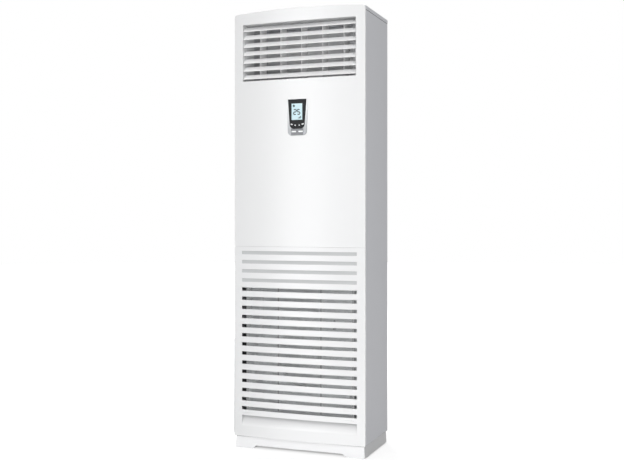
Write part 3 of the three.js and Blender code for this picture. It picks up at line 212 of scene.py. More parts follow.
WORLD_LIGHT = 0.285
world = bpy.data.worlds.new("studio")
bpy.context.scene.world = world
world.use_nodes = True
background = world.node_tree.nodes["Background"]
path = world.node_tree.nodes.new("ShaderNodeLightPath")
strength = world.node_tree.nodes.new("ShaderNodeMapRange")
strength.inputs["To Min"].default_value = WORLD_LIGHT
shown = path.outputs["Is Camera Ray"]
for ray in ("Is Glossy Ray", "Is Transmission Ray"):
    either = world.node_tree.nodes.new("ShaderNodeMath")
    either.operation = "MAXIMUM"
    world.node_tree.links.new(shown, either.inputs[0])
    world.node_tree.links.new(path.outputs[ray], either.inputs[1])
    shown = either.outputs[0]
world.node_tree.links.new(shown, strength.inputs["Value"])
world.node_tree.links.new(strength.outputs[0], background.inputs["Strength"])
background.inputs["Color"].default_value = (1, 1, 1, 1)

# Plinth: a flared skirt of pale moulded plastic, cut away so that the cabinet stands on four feet.
# It has a fine sandblasted grain and a glossier front, which is painted paler than its sides as
# the light falls, and a painted shadow darkens the gap under the cabinet.
# The modelling helpers below take millimetres, as a maker's drawing does.
MM = 0.001
CABINET_HALF_WIDTH = 250.0
CABINET_HALF_DEPTH = 138.0
CABINET_HEIGHT = 1580.0
AXES = {"x": 0, "y": 1, "z": 2}


def nothing_selected():
    if bpy.context.object and bpy.context.object.mode != "OBJECT":
        bpy.ops.object.mode_set(mode="OBJECT")
    bpy.ops.object.select_all(action="DESELECT")


def settled(piece):
    """The object put at the origin, unturned, with its place in its mesh."""
    nothing_selected()
    piece.select_set(True)
    bpy.context.view_layer.objects.active = piece
    bpy.ops.object.transform_apply(location=True, rotation=True, scale=True)
    return piece


def cuboid(name, x, y, z):
    nothing_selected()
    middle = [(low + high) / 2 * MM for low, high in (x, y, z)]
    bpy.ops.mesh.primitive_cube_add(size=1, location=middle)
    piece = bpy.context.active_object
    piece.name = name
    piece.scale = [(high - low) * MM for low, high in (x, y, z)]
    return settled(piece)


def rod(name, axis, radius, span, centre, sides=32, tip_radius=None):
    """A round rod along an axis, through a centre, with its first end at the low side of the span."""
    nothing_selected()
    place = [centre.get(name_of_axis, 0) * MM for name_of_axis in "xyz"]
    place[AXES[axis]] = (span[0] + span[1]) / 2 * MM
    turn = {"x": (0, pi / 2, 0), "y": (-pi / 2, 0, 0), "z": (0, 0, 0)}[axis]
    bpy.ops.mesh.primitive_cone_add(
        vertices=sides,
        radius1=radius * MM,
        radius2=(radius if tip_radius is None else tip_radius) * MM,
        depth=(span[1] - span[0]) * MM,
        location=place,
        rotation=turn,
    )
    piece = bpy.context.active_object
    piece.name = name
    return settled(piece)


def sliced(piece, axis, places):
    """Edges cut all round the piece, square to an axis."""
    nothing_selected()
    bpy.context.view_layer.objects.active = piece
    normal = [0, 0, 0]
    normal[AXES[axis]] = 1
    bpy.ops.object.mode_set(mode="EDIT")
    for place in places:
        at = [0, 0, 0]
        at[AXES[axis]] = place * MM
        bpy.ops.mesh.select_all(action="SELECT")
        bpy.ops.mesh.bisect(plane_co=at, plane_no=normal)
    bpy.ops.object.mode_set(mode="OBJECT")
    return piece


def moved(piece, change):
    """Each point of the mesh, in millimetres, moved to where the function puts it."""
    for vertex in piece.data.vertices:
        vertex.co = Vector(change(*(vertex.co / MM))) * MM
    return piece


def edges_bevelled(piece, width, segments, chosen):
    """A round bevel on the edges whose two ends the function picks."""
    nothing_selected()
    bpy.context.view_layer.objects.active = piece
    bpy.ops.object.mode_set(mode="EDIT")
    bpy.ops.mesh.select_all(action="DESELECT")
    mesh = bmesh.from_edit_mesh(piece.data)
    for edge in mesh.edges:
        first, second = (vertex.co / MM for vertex in edge.verts)
        edge.select = chosen(first, second)
    bmesh.update_edit_mesh(piece.data)
    bpy.ops.mesh.bevel(offset=width * MM, segments=segments, profile=0.5, affect="EDGES")
    bpy.ops.object.mode_set(mode="OBJECT")
    return piece


def applied(piece, kind, **settings):
    modifier = piece.modifiers.new(kind.title(), kind)
    for setting, value in settings.items():
        setattr(modifier, setting, value)
    nothing_selected()
    piece.select_set(True)
    bpy.context.view_layer.objects.active = piece
    bpy.ops.object.modifier_apply(modifier=modifier.name)
    return piece


def combined(piece, tools, operation):
    """The piece with other solids cut away from it or joined to it, which are used up."""
    for tool in tools:
        applied(piece, "BOOLEAN", object=tool, operation=operation, solver="EXACT")
        bpy.data.objects.remove(tool)
    return piece


def cut(piece, *tools):
    return combined(piece, tools, "DIFFERENCE")


def welded(piece, *tools):
    return combined(piece, tools, "UNION")


def eased(piece, width, segments=2, angle=35.0):
    """Small round edges all over, and smooth shading across them."""
    settings = {"limit_method": "ANGLE", "angle_limit": radians(angle), "harden_normals": False}
    applied(piece, "BEVEL", width=width * MM, segments=segments, **settings)
    nothing_selected()
    piece.select_set(True)
    bpy.context.view_layer.objects.active = piece
    bpy.ops.object.shade_smooth_by_angle(angle=radians(angle))
    return applied(piece, "WEIGHTED_NORMAL", keep_sharp=True, weight=100)


def fitted(piece, finish, body, slot, *nodes):
    """The finished piece, on its body, standing for its CAD nodes."""
    piece.data.materials.clear()
    piece.data.materials.append(finish.material)
    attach(piece, body)
    if nodes:
        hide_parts(*nodes)
    return piece


def dressed(finish, *nodes):
    """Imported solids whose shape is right, with a better finish."""
    for node in nodes:
        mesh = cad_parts[node].data
        mesh.materials.clear()
        mesh.materials.append(finish.material)


def copied(name, node, width=0.4, segments=2, angle=35.0):
    """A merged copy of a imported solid, as flat faces with eased edges."""
    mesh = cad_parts[node].data.copy()
    piece = bpy.data.objects.new(name, mesh)
    bpy.context.collection.objects.link(piece)
    nothing_selected()
    piece.select_set(True)
    bpy.context.view_layer.objects.active = piece
    bpy.ops.object.mode_set(mode="EDIT")
    bpy.ops.mesh.select_all(action="SELECT")
    bpy.ops.mesh.remove_doubles(threshold=0.01 * MM)
    bpy.ops.mesh.dissolve_limited(angle_limit=radians(0.5))
    bpy.ops.object.mode_set(mode="OBJECT")
    if width:
        eased(piece, width, segments, angle)
    return piece


PLINTH_TOP = 43.5
PLINTH_HALF_WIDTH = 245.0
PLINTH_HALF_DEPTH = 133.0
PLINTH_FLARE = 2.0
PLINTH_WALL = 2.5
FOOT_WIDTH = 68.0
FOOT_SLOPE = 10.0
FOOT_RISE = 11.0
PLINTH_JOINT_SHADE = 40.9
PLINTH_LIT_FRONT = -132.5


def plinth_block(name, inset, foot):
    """The flared block with round upright corners, or its hollow when it is inset."""
    half, deep = PLINTH_HALF_WIDTH - inset, PLINTH_HALF_DEPTH - inset
    block = cuboid(name, (-half, half), (-deep, deep), (foot, PLINTH_TOP - inset))
    edges_bevelled(block, 7 - inset, 5, lambda a, b: abs(a.x - b.x) + abs(a.y - b.y) < 0.1)

    def flared(x, y, z):
        flare = PLINTH_FLARE * (1 - max(z, 0) / PLINTH_TOP)
        return x * (1 + flare / half), y * (1 + flare / deep), z

    return moved(block, flared)


grained = Finish("plinth_grain", (0.67, 0.674, 0.682), 0.5, specular_ior_level=0.2, coat_roughness=0.22)
# Painted light: the front of the plinth is painted paler than its shaded sides.
front = grained.along("Y") < PLINTH_LIT_FRONT * MM
# Painted shadow: a dark band along the top of the plinth stands for the shade in the gap under the
# cabinet.
joint_shade = grained.along("Z") > PLINTH_JOINT_SHADE * MM
pale = grained.mixed(front, (0.67, 0.6727, 0.6794), (0.835, 0.8383, 0.8467))
grained.feed("Base Color", grained.mixed(joint_shade, pale, (0.3, 0.3012, 0.3042)))
grained.feed("Coat Weight", front)
grained.bump(grained.noise(900, 3), 0.00006, 0.5)
grained.feed("Roughness", 0.44 + 0.12 * grained.noise(40))
plinth = plinth_block("plinth_skirt", 0, 0)
foot_edge = PLINTH_HALF_WIDTH - FOOT_WIDTH
arch = cuboid("foot_cutout", (-foot_edge, foot_edge), (-150, 150), (-1, FOOT_RISE))
moved(arch, lambda x, y, z: (x * (1 - (z > 0) * FOOT_SLOPE / foot_edge), y, z))
cut(plinth, plinth_block("plinth_hollow", PLINTH_WALL, -1), arch)
pads = []
for side in (-1, 1):
    for end in (-1, 1):
        across = sorted((side * foot_edge, side * (PLINTH_HALF_WIDTH - PLINTH_WALL)))
        along = sorted((end * (PLINTH_HALF_DEPTH - PLINTH_WALL + 1), end * (PLINTH_HALF_DEPTH - 34)))
        pads.append(cuboid("foot_pad", across, along, (0, PLINTH_WALL)))
welded(plinth, *pads)
fitted(eased(plinth, 0.7), grained, "cabinet", "plinth_plastic", "plinth")

# Base pan, blower deck, scroll, motor bracket and electric box: galvanised sheet steel, left bare.
# Zinc shows as a soft patchwork of dull and bright grains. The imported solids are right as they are.
zinc = Finish("galvanised_sheet", (0.5, 0.51, 0.52), 0.42, 0.85)
grains = {"Vector": zinc.place, "Scale": 140}
grains = zinc.node("ShaderNodeTexVoronoi", {"feature": "F1"}, grains, "Color")
spangle = zinc.node("ShaderNodeSeparateColor", {}, {0: grains})
zinc.feed("Base Color", zinc.mixed(spangle, (0.42, 0.43, 0.44), (0.6, 0.61, 0.62)))
zinc.feed("Roughness", 0.34 + 0.2 * spangle)
zinc.bump(zinc.noise(300, 2), 0.00004, 0.4)
dressed(zinc, "base_pan", "blower_deck", "blower_housing", "blower_front_plate", "duct_front_wall")
dressed(zinc, "motor_bracket", "electric_box", "electric_box_cover")

# Side panels and rear panel: sheet steel folded at every edge and powder-coated white.
# The coat has a faint orange peel and a slightly uneven sheen.
# The left panel has the hole for the pipes, behind the pipe cover.
PANEL_WHITE = (0.69, 0.698, 0.728)
coat = Finish("powder_coat", PANEL_WHITE, 0.5, specular_ior_level=0.2)
coat.bump(coat.noise(260, 2), 0.00012, 0.35)
coat.feed("Roughness", 0.48 + 0.12 * coat.noise(30))
for side in ("left", "right"):
    panel = copied(f"{side}_side_sheet", f"side_panel_{side}", 0.35)
    fitted(panel, coat, "cabinet", "panel_steel", f"side_panel_{side}")
rear = copied("rear_sheet", "rear_panel", 0.35)
fitted(rear, coat, "cabinet", "panel_steel", "rear_panel")

# Panel screws: zinc-plated pan-head screws with a cross recess, round the edge of the rear panel.
# One more holds the pipe cover. Each head is turned a little differently, as hands leave them.
SCREW_RADIUS = 4.0
SCREW_RISE = 1.8
REAR_FACE = 138.0
REAR_SCREWS = [(side * 232, height) for side in (-1, 1) for height in (70, 430, 790, 1150, 1510)]
REAR_SCREWS += [(0, 62), (0, 1548), (120, 62), (-120, 62)]


def screw_head(name, turn=0.0):
    """A domed head that points along +Y, with its seat at the origin."""
    head = rod(name, "y", SCREW_RADIUS, (0, SCREW_RISE), {}, 24)
    edges_bevelled(head, 1.1, 4, lambda a, b: a.y > SCREW_RISE - 0.1 and b.y > SCREW_RISE - 0.1)
    for across, up in ((2.3, 0.45), (0.45, 2.3)):
        slot = cuboid("cross_slot", (-across, across), (SCREW_RISE - 1.0, SCREW_RISE + 1), (-up, up))
        slot.rotation_euler = (0, turn, 0)
        cut(head, settled(slot))
    return eased(head, 0.12, 1)


plated = Finish("zinc_plating", (0.62, 0.63, 0.64), 0.28, 0.95)
plated.bump(plated.noise(700, 2), 0.00002, 0.3)
for number, (across, height) in enumerate(REAR_SCREWS, 1):
    screw = screw_head(f"rear_screw_{number}", number * 0.7)
    screw.location = (across * MM, REAR_FACE * MM, height * MM)
    fitted(settled(screw), plated, "cabinet", "galvanised")

# Top cover: a moulded cap over the cabinet, with a skirt inside the panels.
# The seam under it is an open gap near the top of the sides, where the skirt is painted dark as
# the gap's shade. It is as matt as the panels, and its upper edges are rounded over.
COVER_BOTTOM = 1564.0
COVER_SEAM = 1.4
PANEL_BACK = -130.0
cap_white = Finish("cap_moulding", PANEL_WHITE, 0.55, specular_ior_level=0.2)
cap_white.feed("Roughness", 0.5 + 0.1 * cap_white.noise(24))
cap_white.bump(cap_white.noise(1100, 3), 0.00004, 0.4)
height = cap_white.along("Z")
# Painted shadow: a dark band on the skirt where it shows in the seam's gap.
seam_shade = (height > COVER_BOTTOM * MM) * (height < (COVER_BOTTOM + COVER_SEAM + 0.05) * MM)
cap_white.feed("Base Color", cap_white.mixed(seam_shade, PANEL_WHITE, (0.12, 0.12, 0.125)))
cap_height = (COVER_BOTTOM + COVER_SEAM, CABINET_HEIGHT)
cover = cuboid("top_cap", (-250, 250), (PANEL_BACK + 0.3, REAR_FACE), cap_height)
edges_bevelled(cover, 2.4, 4, lambda a, b: abs(a.z - b.z) > 1 and a.y > 0)
edges_bevelled(cover, 2.6, 4, lambda a, b: min(a.z, b.z) > CABINET_HEIGHT - 0.1 and max(a.y, b.y) > -129)
skirt = cuboid("cap_skirt", (-248.7, 248.7), (-128.4, 124.4), (COVER_BOTTOM - 9, COVER_BOTTOM + 3))
hollow = cuboid("cap_hollow", (-246.2, 246.2), (-125.9, 121.9), (COVER_BOTTOM - 10, CABINET_HEIGHT - 2.5))
welded(cover, skirt)
cut(cover, hollow)
fitted(eased(cover, 0.3), cap_white, "cabinet", "front_plastic", "top_cover")

# Upper front panel: one large white moulding, bowed in plan, with an arched top and round corners.
# It has the outlet opening, whose side walls carry the louver pins, and the cut-out for the display.
# It hooks onto the side panels behind its two returns. A clear glossy skin gives it its sheen.
FRONT_WHITE = (0.73, 0.734, 0.739)
moulded = Finish("white_moulding", FRONT_WHITE, 0.5, coat_weight=1.0, coat_roughness=0.22)
moulded.bump(moulded.noise(1100, 3), 0.00004, 0.4)
moulded.feed("Roughness", 0.28 + 0.06 * moulded.noise(24))
FRONT_BOW = 8.0
FRONT_WALL = 2.5
SEAM_HEIGHT = 735.0
OUTLET = ((-216.5, 216.5), (1335.0, 1540.6))
COLUMNS = [CABINET_HALF_WIDTH * (2 * i / 30 - 1) for i in range(1, 30)]


def front_face(x):
    """The depth of the bowed front at a place across it."""
    return -CABINET_HALF_DEPTH - FRONT_BOW * (1 - (x / CABINET_HALF_WIDTH) ** 2)


def bowed_block(name, half, height, inset=0.0, depth=FRONT_WALL, corner=None):
    """A block with the bow of the front on its front face, and round upright front corners."""
    block = cuboid(name, (-half, half), (-190, PANEL_BACK + depth), height)
    if corner:
        edges_bevelled(block, corner, 5, lambda a, b: abs(a.z - b.z) > 1 and max(a.y, b.y) < -180)
    sliced(block, "x", [x for x in COLUMNS if abs(x) < half - 8])
    front = -190
    return moved(block, lambda x, y, z: (x, y + (front_face(x) + inset - front) * (y < -160), z))


def arched_block(name):
    """The elevation of the upper panel, as a block from front to back."""
    top, shoulder, rise = CABINET_HEIGHT, 10.0, 8.0
    span = CABINET_HALF_WIDTH - shoulder
    block = cuboid(name, (-251, 251), (-200, -100), (SEAM_HEIGHT - 1, top))
    moved(block, lambda x, y, z: (x * 250 / 251 if z > top - 1 else x, y, z))
    edges_bevelled(block, shoulder, 6, lambda a, b: min(a.z, b.z) > top - 1 and abs(a.y - b.y) > 1)
    sliced(block, "x", [x for x in COLUMNS if abs(x) < span - 2])
    arch = lambda x: rise * (1 - (x / span) ** 2)
    return moved(block, lambda x, y, z: (x, y, z + (arch(x) if z > top - 0.01 and abs(x) < span else 0)))


def display_outline(top_width, foot_width, bottom, top, corner, margin=0.0):
    """Corners of the display's outline: straight above, narrower and rounded below."""
    head, foot, low = top_width / 2 + margin, foot_width / 2 + margin, bottom - margin
    right = [(foot - corner + corner * sin(a), low + corner - corner * cos(a))
             for a in (radians(step) for step in range(0, 91, 9))]
    return right + [(head, top + margin), (-head, top + margin)] + [(-x, z) for x, z in reversed(right)]


def upright_plate(name, outline, front, back):
    """A plate that faces forward: its outline filled as one face and extruded back."""
    nothing_selected()
    bpy.ops.mesh.primitive_circle_add(vertices=len(outline), radius=1, fill_type="NGON")
    piece = bpy.context.active_object
    piece.name = name
    for vertex, (x, z) in zip(piece.data.vertices, outline):
        vertex.co = (x * MM, front * MM, z * MM)
    bpy.ops.object.mode_set(mode="EDIT")
    bpy.ops.mesh.select_all(action="SELECT")
    bpy.ops.mesh.extrude_region_move(TRANSFORM_OT_translate={"value": (0, (back - front) * MM, 0)})
    bpy.ops.mesh.select_all(action="SELECT")
    bpy.ops.mesh.normals_make_consistent(inside=False)
    bpy.ops.object.mode_set(mode="OBJECT")
    return piece


DISPLAY_BOTTOM = 1132.6
DISPLAY_TOP = 1262.4
bezel_outline = display_outline(80, 72, DISPLAY_BOTTOM, DISPLAY_TOP, 14, 0.3)
shell_height = (SEAM_HEIGHT + 0.25, CABINET_HEIGHT + 12)
upper = bowed_block("upper_panel", 250, shell_height, depth=0, corner=7)
applied(upper, "BOOLEAN", object=arched_block("arch_elevation"), operation="INTERSECT", solver="EXACT")
bpy.data.objects.remove(bpy.data.objects["arch_elevation"])
shelf = CABINET_HEIGHT - FRONT_WALL
for low, high in ((SEAM_HEIGHT + 0.25 + FRONT_WALL, shelf), (CABINET_HEIGHT, CABINET_HEIGHT + 20)):
    cut(upper, bowed_block("panel_hollow", 247.5, (low, high), FRONT_WALL, 3, 4.5))
(left, right), (bottom, top) = OUTLET
cut(upper, cuboid("outlet_opening", OUTLET[0], (-170, -120), OUTLET[1]))
for side in (-1, 1):
    jamb = sorted((side * right, side * (right + 3)))
    welded(upper, cuboid("louver_jamb", jamb, (front_face(218) + 1.2, -113), (bottom - 3, top + 3)))
cut(upper, upright_plate("display_cutout", bezel_outline, -170, -120))
fitted(eased(upper, 0.8), moulded, "cabinet", "front_plastic", "upper_front_panel")

# Intake grille: the lower front panel, a white moulding with eighteen slots and a finger recess.
# The slots are even, with moulded round edges. Under them the recess has a sharp top edge to pull
# on, and fades out into the panel below; its upper part is painted grey as the shade under that
# edge. Hooks behind it guide the filter.
PLINTH_HEIGHT = 44.0
GRILLE_TOP = SEAM_HEIGHT - 0.25
SLOT_HALF = 220.2
SLOT_HALF_HEIGHT = 6.25
SLOT_PITCH = (712.5 - 146.7) / 17
SLOTS = [712.5 - SLOT_PITCH * i for i in range(18)]
RECESS_TOP, RECESS_HEIGHT, RECESS_DEPTH = 121.0, 41.0, 20.0
HOOK_LEVELS = (7.5, 10.5, 14.5)


def recess_block(name, half, offset, top):
    """The hollow of the finger recess, or the skin behind it when it is set back by an offset."""
    foot = RECESS_TOP - RECESS_HEIGHT
    block = cuboid(name, (-half, half), (-190, -180), (foot, top))
    sliced(block, "z", [foot + RECESS_HEIGHT * (i / 14) for i in range(1, 14)])
    sliced(block, "x", [x for x in COLUMNS if abs(x) < half - 8])

    def hollow(x, y, z):
        fade = min(max((RECESS_TOP - z) / RECESS_HEIGHT, 0), 1)
        depth = RECESS_DEPTH * (1 - (fade + sin(fade * pi / 2)) / 2) + offset
        near = front_face(x) + (FRONT_WALL / 2 if offset else -3)
        return x, front_face(x) + depth if y > -185 else near, z

    return moved(block, hollow)


grille = bowed_block("grille_panel", 250, (PLINTH_HEIGHT, GRILLE_TOP), depth=0, corner=7)
inside = (PLINTH_HEIGHT + FRONT_WALL, GRILLE_TOP - FRONT_WALL)
cut(grille, bowed_block("grille_hollow", 247.5, inside, FRONT_WALL, 3, 4.5))
welded(grille, recess_block("recess_skin", SLOT_HALF + 2, 2 + FRONT_WALL / 2, RECESS_TOP + 2))
cut(grille, recess_block("recess_hollow", SLOT_HALF, 0, RECESS_TOP))
height = moulded.along("Z")
inside_recess = (height < RECESS_TOP * MM) * (abs(moulded.along("X")) < SLOT_HALF * MM)
# Painted shade: the recess is painted grey under its top edge, fading out downwards.
recess_shade = moulded.ramp(height, 0.086, 0.113) * inside_recess
moulded.feed("Base Color", moulded.mixed(recess_shade, FRONT_WHITE, (0.56, 0.564, 0.569)))
for height in SLOTS:
    slot = (height - SLOT_HALF_HEIGHT, height + SLOT_HALF_HEIGHT)
    cut(grille, cuboid("slot", (-SLOT_HALF, SLOT_HALF), (-170, -120), slot))
eased(grille, 0.7)
guides = []
for level in HOOK_LEVELS:
    middle = 712.5 - SLOT_PITCH * level
    height = (middle - SLOT_HALF_HEIGHT, middle + SLOT_HALF_HEIGHT)
    for side in (-1, 1):
        arm = sorted((side * 208.4, side * 211.4))
        hook = sorted((side * 205.4, side * 211.4))
        guide = cuboid("filter_hook", arm, (-139.3, -119.6), height)
        guides.append(welded(guide, cuboid("hook_lip", hook, (-122.6, -119.6), height)))
for side in (-1, 1):
    across = sorted((side * 82, side * 208.4))
    guides.append(cuboid("filter_ledge", across, (-143.5, -122.6), (129.2, 131.7)))
fitted(grille, moulded, "intake_grille", "front_plastic", "intake_grille")
for number, guide in enumerate(guides, 1):
    guide.name = f"filter_guide_{number}"
    fitted(eased(guide, 0.3), moulded, "intake_grille", "front_plastic")

# Slot blanking plate: a light grey moulded sheet that closes the upper four slots from behind.
# It follows the bow of the panel, and is matt so that the slots still read as slots.
blanked = Finish("blanking_grey", (0.50, 0.51, 0.515), 0.55)
blanked.bump(blanked.noise(500, 2), 0.00006, 0.4)
plate_height = (SLOTS[3] - 2 * SLOT_HALF_HEIGHT, SLOTS[0] + 2 * SLOT_HALF_HEIGHT)
plate = cuboid("blanking_sheet", (-222.7, 222.7), (-190, -180), plate_height)
sliced(plate, "x", [x for x in COLUMNS if abs(x) < 216])
moved(plate, lambda x, y, z: (x, front_face(x) + (4.3 if y > -185 else 2.8), z))
fitted(eased(plate, 0.25), blanked, "intake_grille", "grey_plastic", "slot_blanking_plate")

# Air filter: a grey moulded frame with two ribs, and the net that it holds behind the open slots.
# The net is woven from flat mid-grey strands. The filter slides up out of its hooks to be washed.
FILTER = ((-208.0, 208.0), (-128.0, -123.0), (132.0, 594.0))
FILTER_EDGE = 9.0
RIB_PLACE = 82.0
NET_PITCH = 2.6
STRAND_WIDTH, STRAND_THICKNESS = 0.8, 0.3
filter_grey = Finish("filter_frame_grey", (0.32, 0.327, 0.331), 0.6)
filter_grey.bump(filter_grey.noise(600, 2), 0.00005, 0.4)
frame_piece = cuboid("filter_surround", *FILTER)
(left, right), (near, back), (foot, head) = FILTER
open_height = (foot + FILTER_EDGE, head - FILTER_EDGE)
bay_edges = [left + FILTER_EDGE, -RIB_PLACE - 2, -RIB_PLACE + 2]
bay_edges += [RIB_PLACE - 2, RIB_PLACE + 2, right - FILTER_EDGE]
for bay in zip(bay_edges[::2], bay_edges[1::2]):
    cut(frame_piece, cuboid("filter_bay", bay, (near - 1, back + 1), open_height))
fitted(eased(frame_piece, 0.6), filter_grey, "air_filter", "duct_plastic", "filter_frame")

strand_grey = Finish("net_strand", (0.56, 0.575, 0.585), 0.7)
strand_grey.bump(strand_grey.noise(1500, 1), 0.00003, 0.5)
net_half, net_low, net_high = 203.2, open_height[0] - 4, open_height[1] + 4
NET_FRONT = near + 1.3
strands = bmesh.new()
for axis, (start, end), (low, high), depth in (
    (0, (-net_half, net_half), (net_low, net_high), NET_FRONT),
    (2, (net_low, net_high), (-net_half, net_half), NET_FRONT + 0.35),
):
    count = int((end - start) / NET_PITCH)
    for i in range(count + 1):
        at = start + NET_PITCH * i
        size = [STRAND_WIDTH, STRAND_THICKNESS, STRAND_WIDTH]
        size[2 - axis] = high - low
        centre = [0, depth, 0]
        centre[axis], centre[2 - axis] = at, (low + high) / 2
        shape = Matrix.LocRotScale([c * MM for c in centre], None, [s * MM for s in size])
        bmesh.ops.create_cube(strands, size=1, matrix=shape)
net_mesh = bpy.data.meshes.new("filter_weave")
strands.to_mesh(net_mesh)
net = bpy.data.objects.new("filter_weave", net_mesh)
bpy.context.collection.objects.link(net)
fitted(net, strand_grey, "air_filter", "net", "filter_net")

# Louvers: seven white moulded blades that tilt together on end pins in the outlet's side walls.
# Each has a rounded bead along its front edge, thins towards the rear, and is notched behind for the
# upright link rod, whose hook goes round a thin pin across the notch.
LOUVER_PIVOT_DEPTH = -124.0
LOUVER_PITCH = 29.05
LOUVER_TILT = radians(40)
LOUVER_PIVOTS = [1517.9 + 14 * sin(LOUVER_TILT) - LOUVER_PITCH * i for i in range(7)]
LINK_PLACE = 202.0
LINK_REACH = 10.0


def section_swept(name, outline, span):
    """A solid across the cabinet: an outline in depth and height, extruded from one side to the other."""
    nothing_selected()
    bpy.ops.mesh.primitive_circle_add(vertices=len(outline), radius=1, fill_type="NGON")
    piece = bpy.context.active_object
    piece.name = name
    for vertex, (y, z) in zip(piece.data.vertices, outline):
        vertex.co = (span[0] * MM, y * MM, z * MM)
    bpy.ops.object.mode_set(mode="EDIT")
    bpy.ops.mesh.select_all(action="SELECT")
    bpy.ops.mesh.extrude_region_move(TRANSFORM_OT_translate={"value": ((span[1] - span[0]) * MM, 0, 0)})
    bpy.ops.mesh.select_all(action="SELECT")
    bpy.ops.mesh.normals_make_consistent(inside=False)
    bpy.ops.object.mode_set(mode="OBJECT")
    return piece


def tilted(along, across, angle):
    return along * cos(angle) - across * sin(angle), along * sin(angle) + across * cos(angle)


BEAD = 1.5
bead = [(-14 + BEAD - BEAD * cos(a), BEAD * sin(a)) for a in (radians(t) for t in range(-90, 91, 15))]
blade_top = [(-9, 1.15), (-3, 1.35), (3, 1.2), (9, 0.85), (13.6, 0.6), (14, 0.2)]
blade_under = [(14, -0.2), (13.6, -0.6), (9, -0.85), (3, -1.2), (-3, -1.35), (-9, -1.15)]
section = [tilted(along, across, LOUVER_TILT) for along, across in bead + blade_top + blade_under]
# Painted light: the blades are painted far paler than the front's same white plastic, for the shade in
# the outlet.
LIT_BLADE_WHITE = (0.97, 0.972, 0.975)
blade_white = Finish("louver_moulding", LIT_BLADE_WHITE, 0.35)
blade_white.feed("Roughness", 0.3 + 0.1 * blade_white.noise(30))
blade_white.bump(blade_white.noise(1100, 3), 0.00004, 0.4)
blade = section_swept("louver_blade", section, (-215.7, 215.7))
corners = [(1.6, -3), (16, -3), (16, 3), (1.6, 3)]
notch = [tilted(along, across, LOUVER_TILT) for along, across in corners]
cut(blade, section_swept("link_notch", notch, (LINK_PLACE - 0.3, LINK_PLACE + 2.3)))
eased(blade, 0.25, 1, 50)
pin_y, pin_z = tilted(LINK_REACH, 0, LOUVER_TILT)
pins = [rod("end_pin", "x", 2, (side * 217.5 - 2.5, side * 217.5 + 2), {}, 16) for side in (-1, 1)]
pins.append(rod("hook_pin", "x", 0.9, (LINK_PLACE - 1, LINK_PLACE + 3), {"y": pin_y, "z": pin_z}, 12))
nothing_selected()
for part in pins:
    part.select_set(True)
blade.select_set(True)
bpy.context.view_layer.objects.active = blade
bpy.ops.object.join()
for number, height in enumerate(LOUVER_PIVOTS, 1):
    louver = blade.copy()
    louver.data = blade.data.copy()
    louver.name = f"louver_blade_{number}"
    bpy.context.collection.objects.link(louver)
    louver.location = (0, LOUVER_PIVOT_DEPTH * MM, height * MM)
    fitted(settled(louver), blade_white, f"louver_{number}", "front_plastic", f"louver_{number}")
bpy.data.objects.remove(blade)
louver_rod = copied("louver_rod", "louver_link", 0.15, 1)
fitted(louver_rod, blanked, "louver_link", "grey_plastic", "louver_link")

# Outlet duct and vanes: pale mouldings behind the louvers. Five upright vanes stand on pins in the
# duct's floor and its roof, which is painted greyer as shade, and a flat rod under them turns
# them together.
# A small geared motor sits on the duct over the middle vane.
DUCT_CEILING = 1539.5
VANE_PITCH = 81.0
VANE_PIVOT_DEPTH = -80.0
duct_grey = Finish("duct_moulding", (0.84, 0.845, 0.85), 0.6)
duct_grey.bump(duct_grey.noise(500, 3), 0.00008, 0.5)
duct_grey.feed("Roughness", 0.55 + 0.12 * duct_grey.noise(20))
# Painted shade: the duct's roof is painted greyer than the rest of it.
ceiling_shade = duct_grey.along("Z") > DUCT_CEILING * MM
duct_grey.feed("Base Color", duct_grey.mixed(ceiling_shade, (0.84, 0.845, 0.85), (0.66, 0.664, 0.67)))
duct = copied("outlet_duct", "outlet_frame", 0.4, 1)
fitted(duct, duct_grey, "cabinet", "duct_plastic", "outlet_frame")
# The vanes take the same paler white, painted light for the shade in the duct.
vane_white = Finish("vane_moulding", LIT_BLADE_WHITE, 0.5)
vane_white.bump(vane_white.noise(600, 2), 0.00005, 0.4)
vane = cuboid("vane_plate", (-0.8, 0.8), (-27, 31), (1338, 1537))
edges_bevelled(vane, 0.6, 3, lambda a, b: abs(a.z - b.z) > 1)
ribs = [cuboid("vane_rib", (-1.6, 1.6), (-6, 6), span) for span in ((1338, 1344), (1531, 1537))]
pins = [rod("vane_pin", "z", 2.5, span, {}, 20) for span in ((1329, 1340), (1535, 1546))]
pins.append(rod("hook_pin", "z", 1, (1331.3, 1340), {"y": 22}, 12))
welded(vane, *ribs, *pins)
eased(vane, 0.2, 1)
for number in range(1, 6):
    turned = vane.copy()
    turned.data = vane.data.copy()
    turned.name = f"vane_plate_{number}"
    bpy.context.collection.objects.link(turned)
    turned.location = (VANE_PITCH * (number - 3) * MM, VANE_PIVOT_DEPTH * MM, 0)
    fitted(settled(turned), vane_white, f"vane_{number}", "duct_plastic", f"vane_{number}")
bpy.data.objects.remove(vane)
black = Finish("black_moulding", (0.03, 0.031, 0.033), 0.45)
black.bump(black.noise(700, 2), 0.00005, 0.4)
fitted(copied("vane_rod", "vane_link", 0.15, 1), black, "vane_link", "black_plastic", "vane_link")
dressed(zinc, "vane_motor")

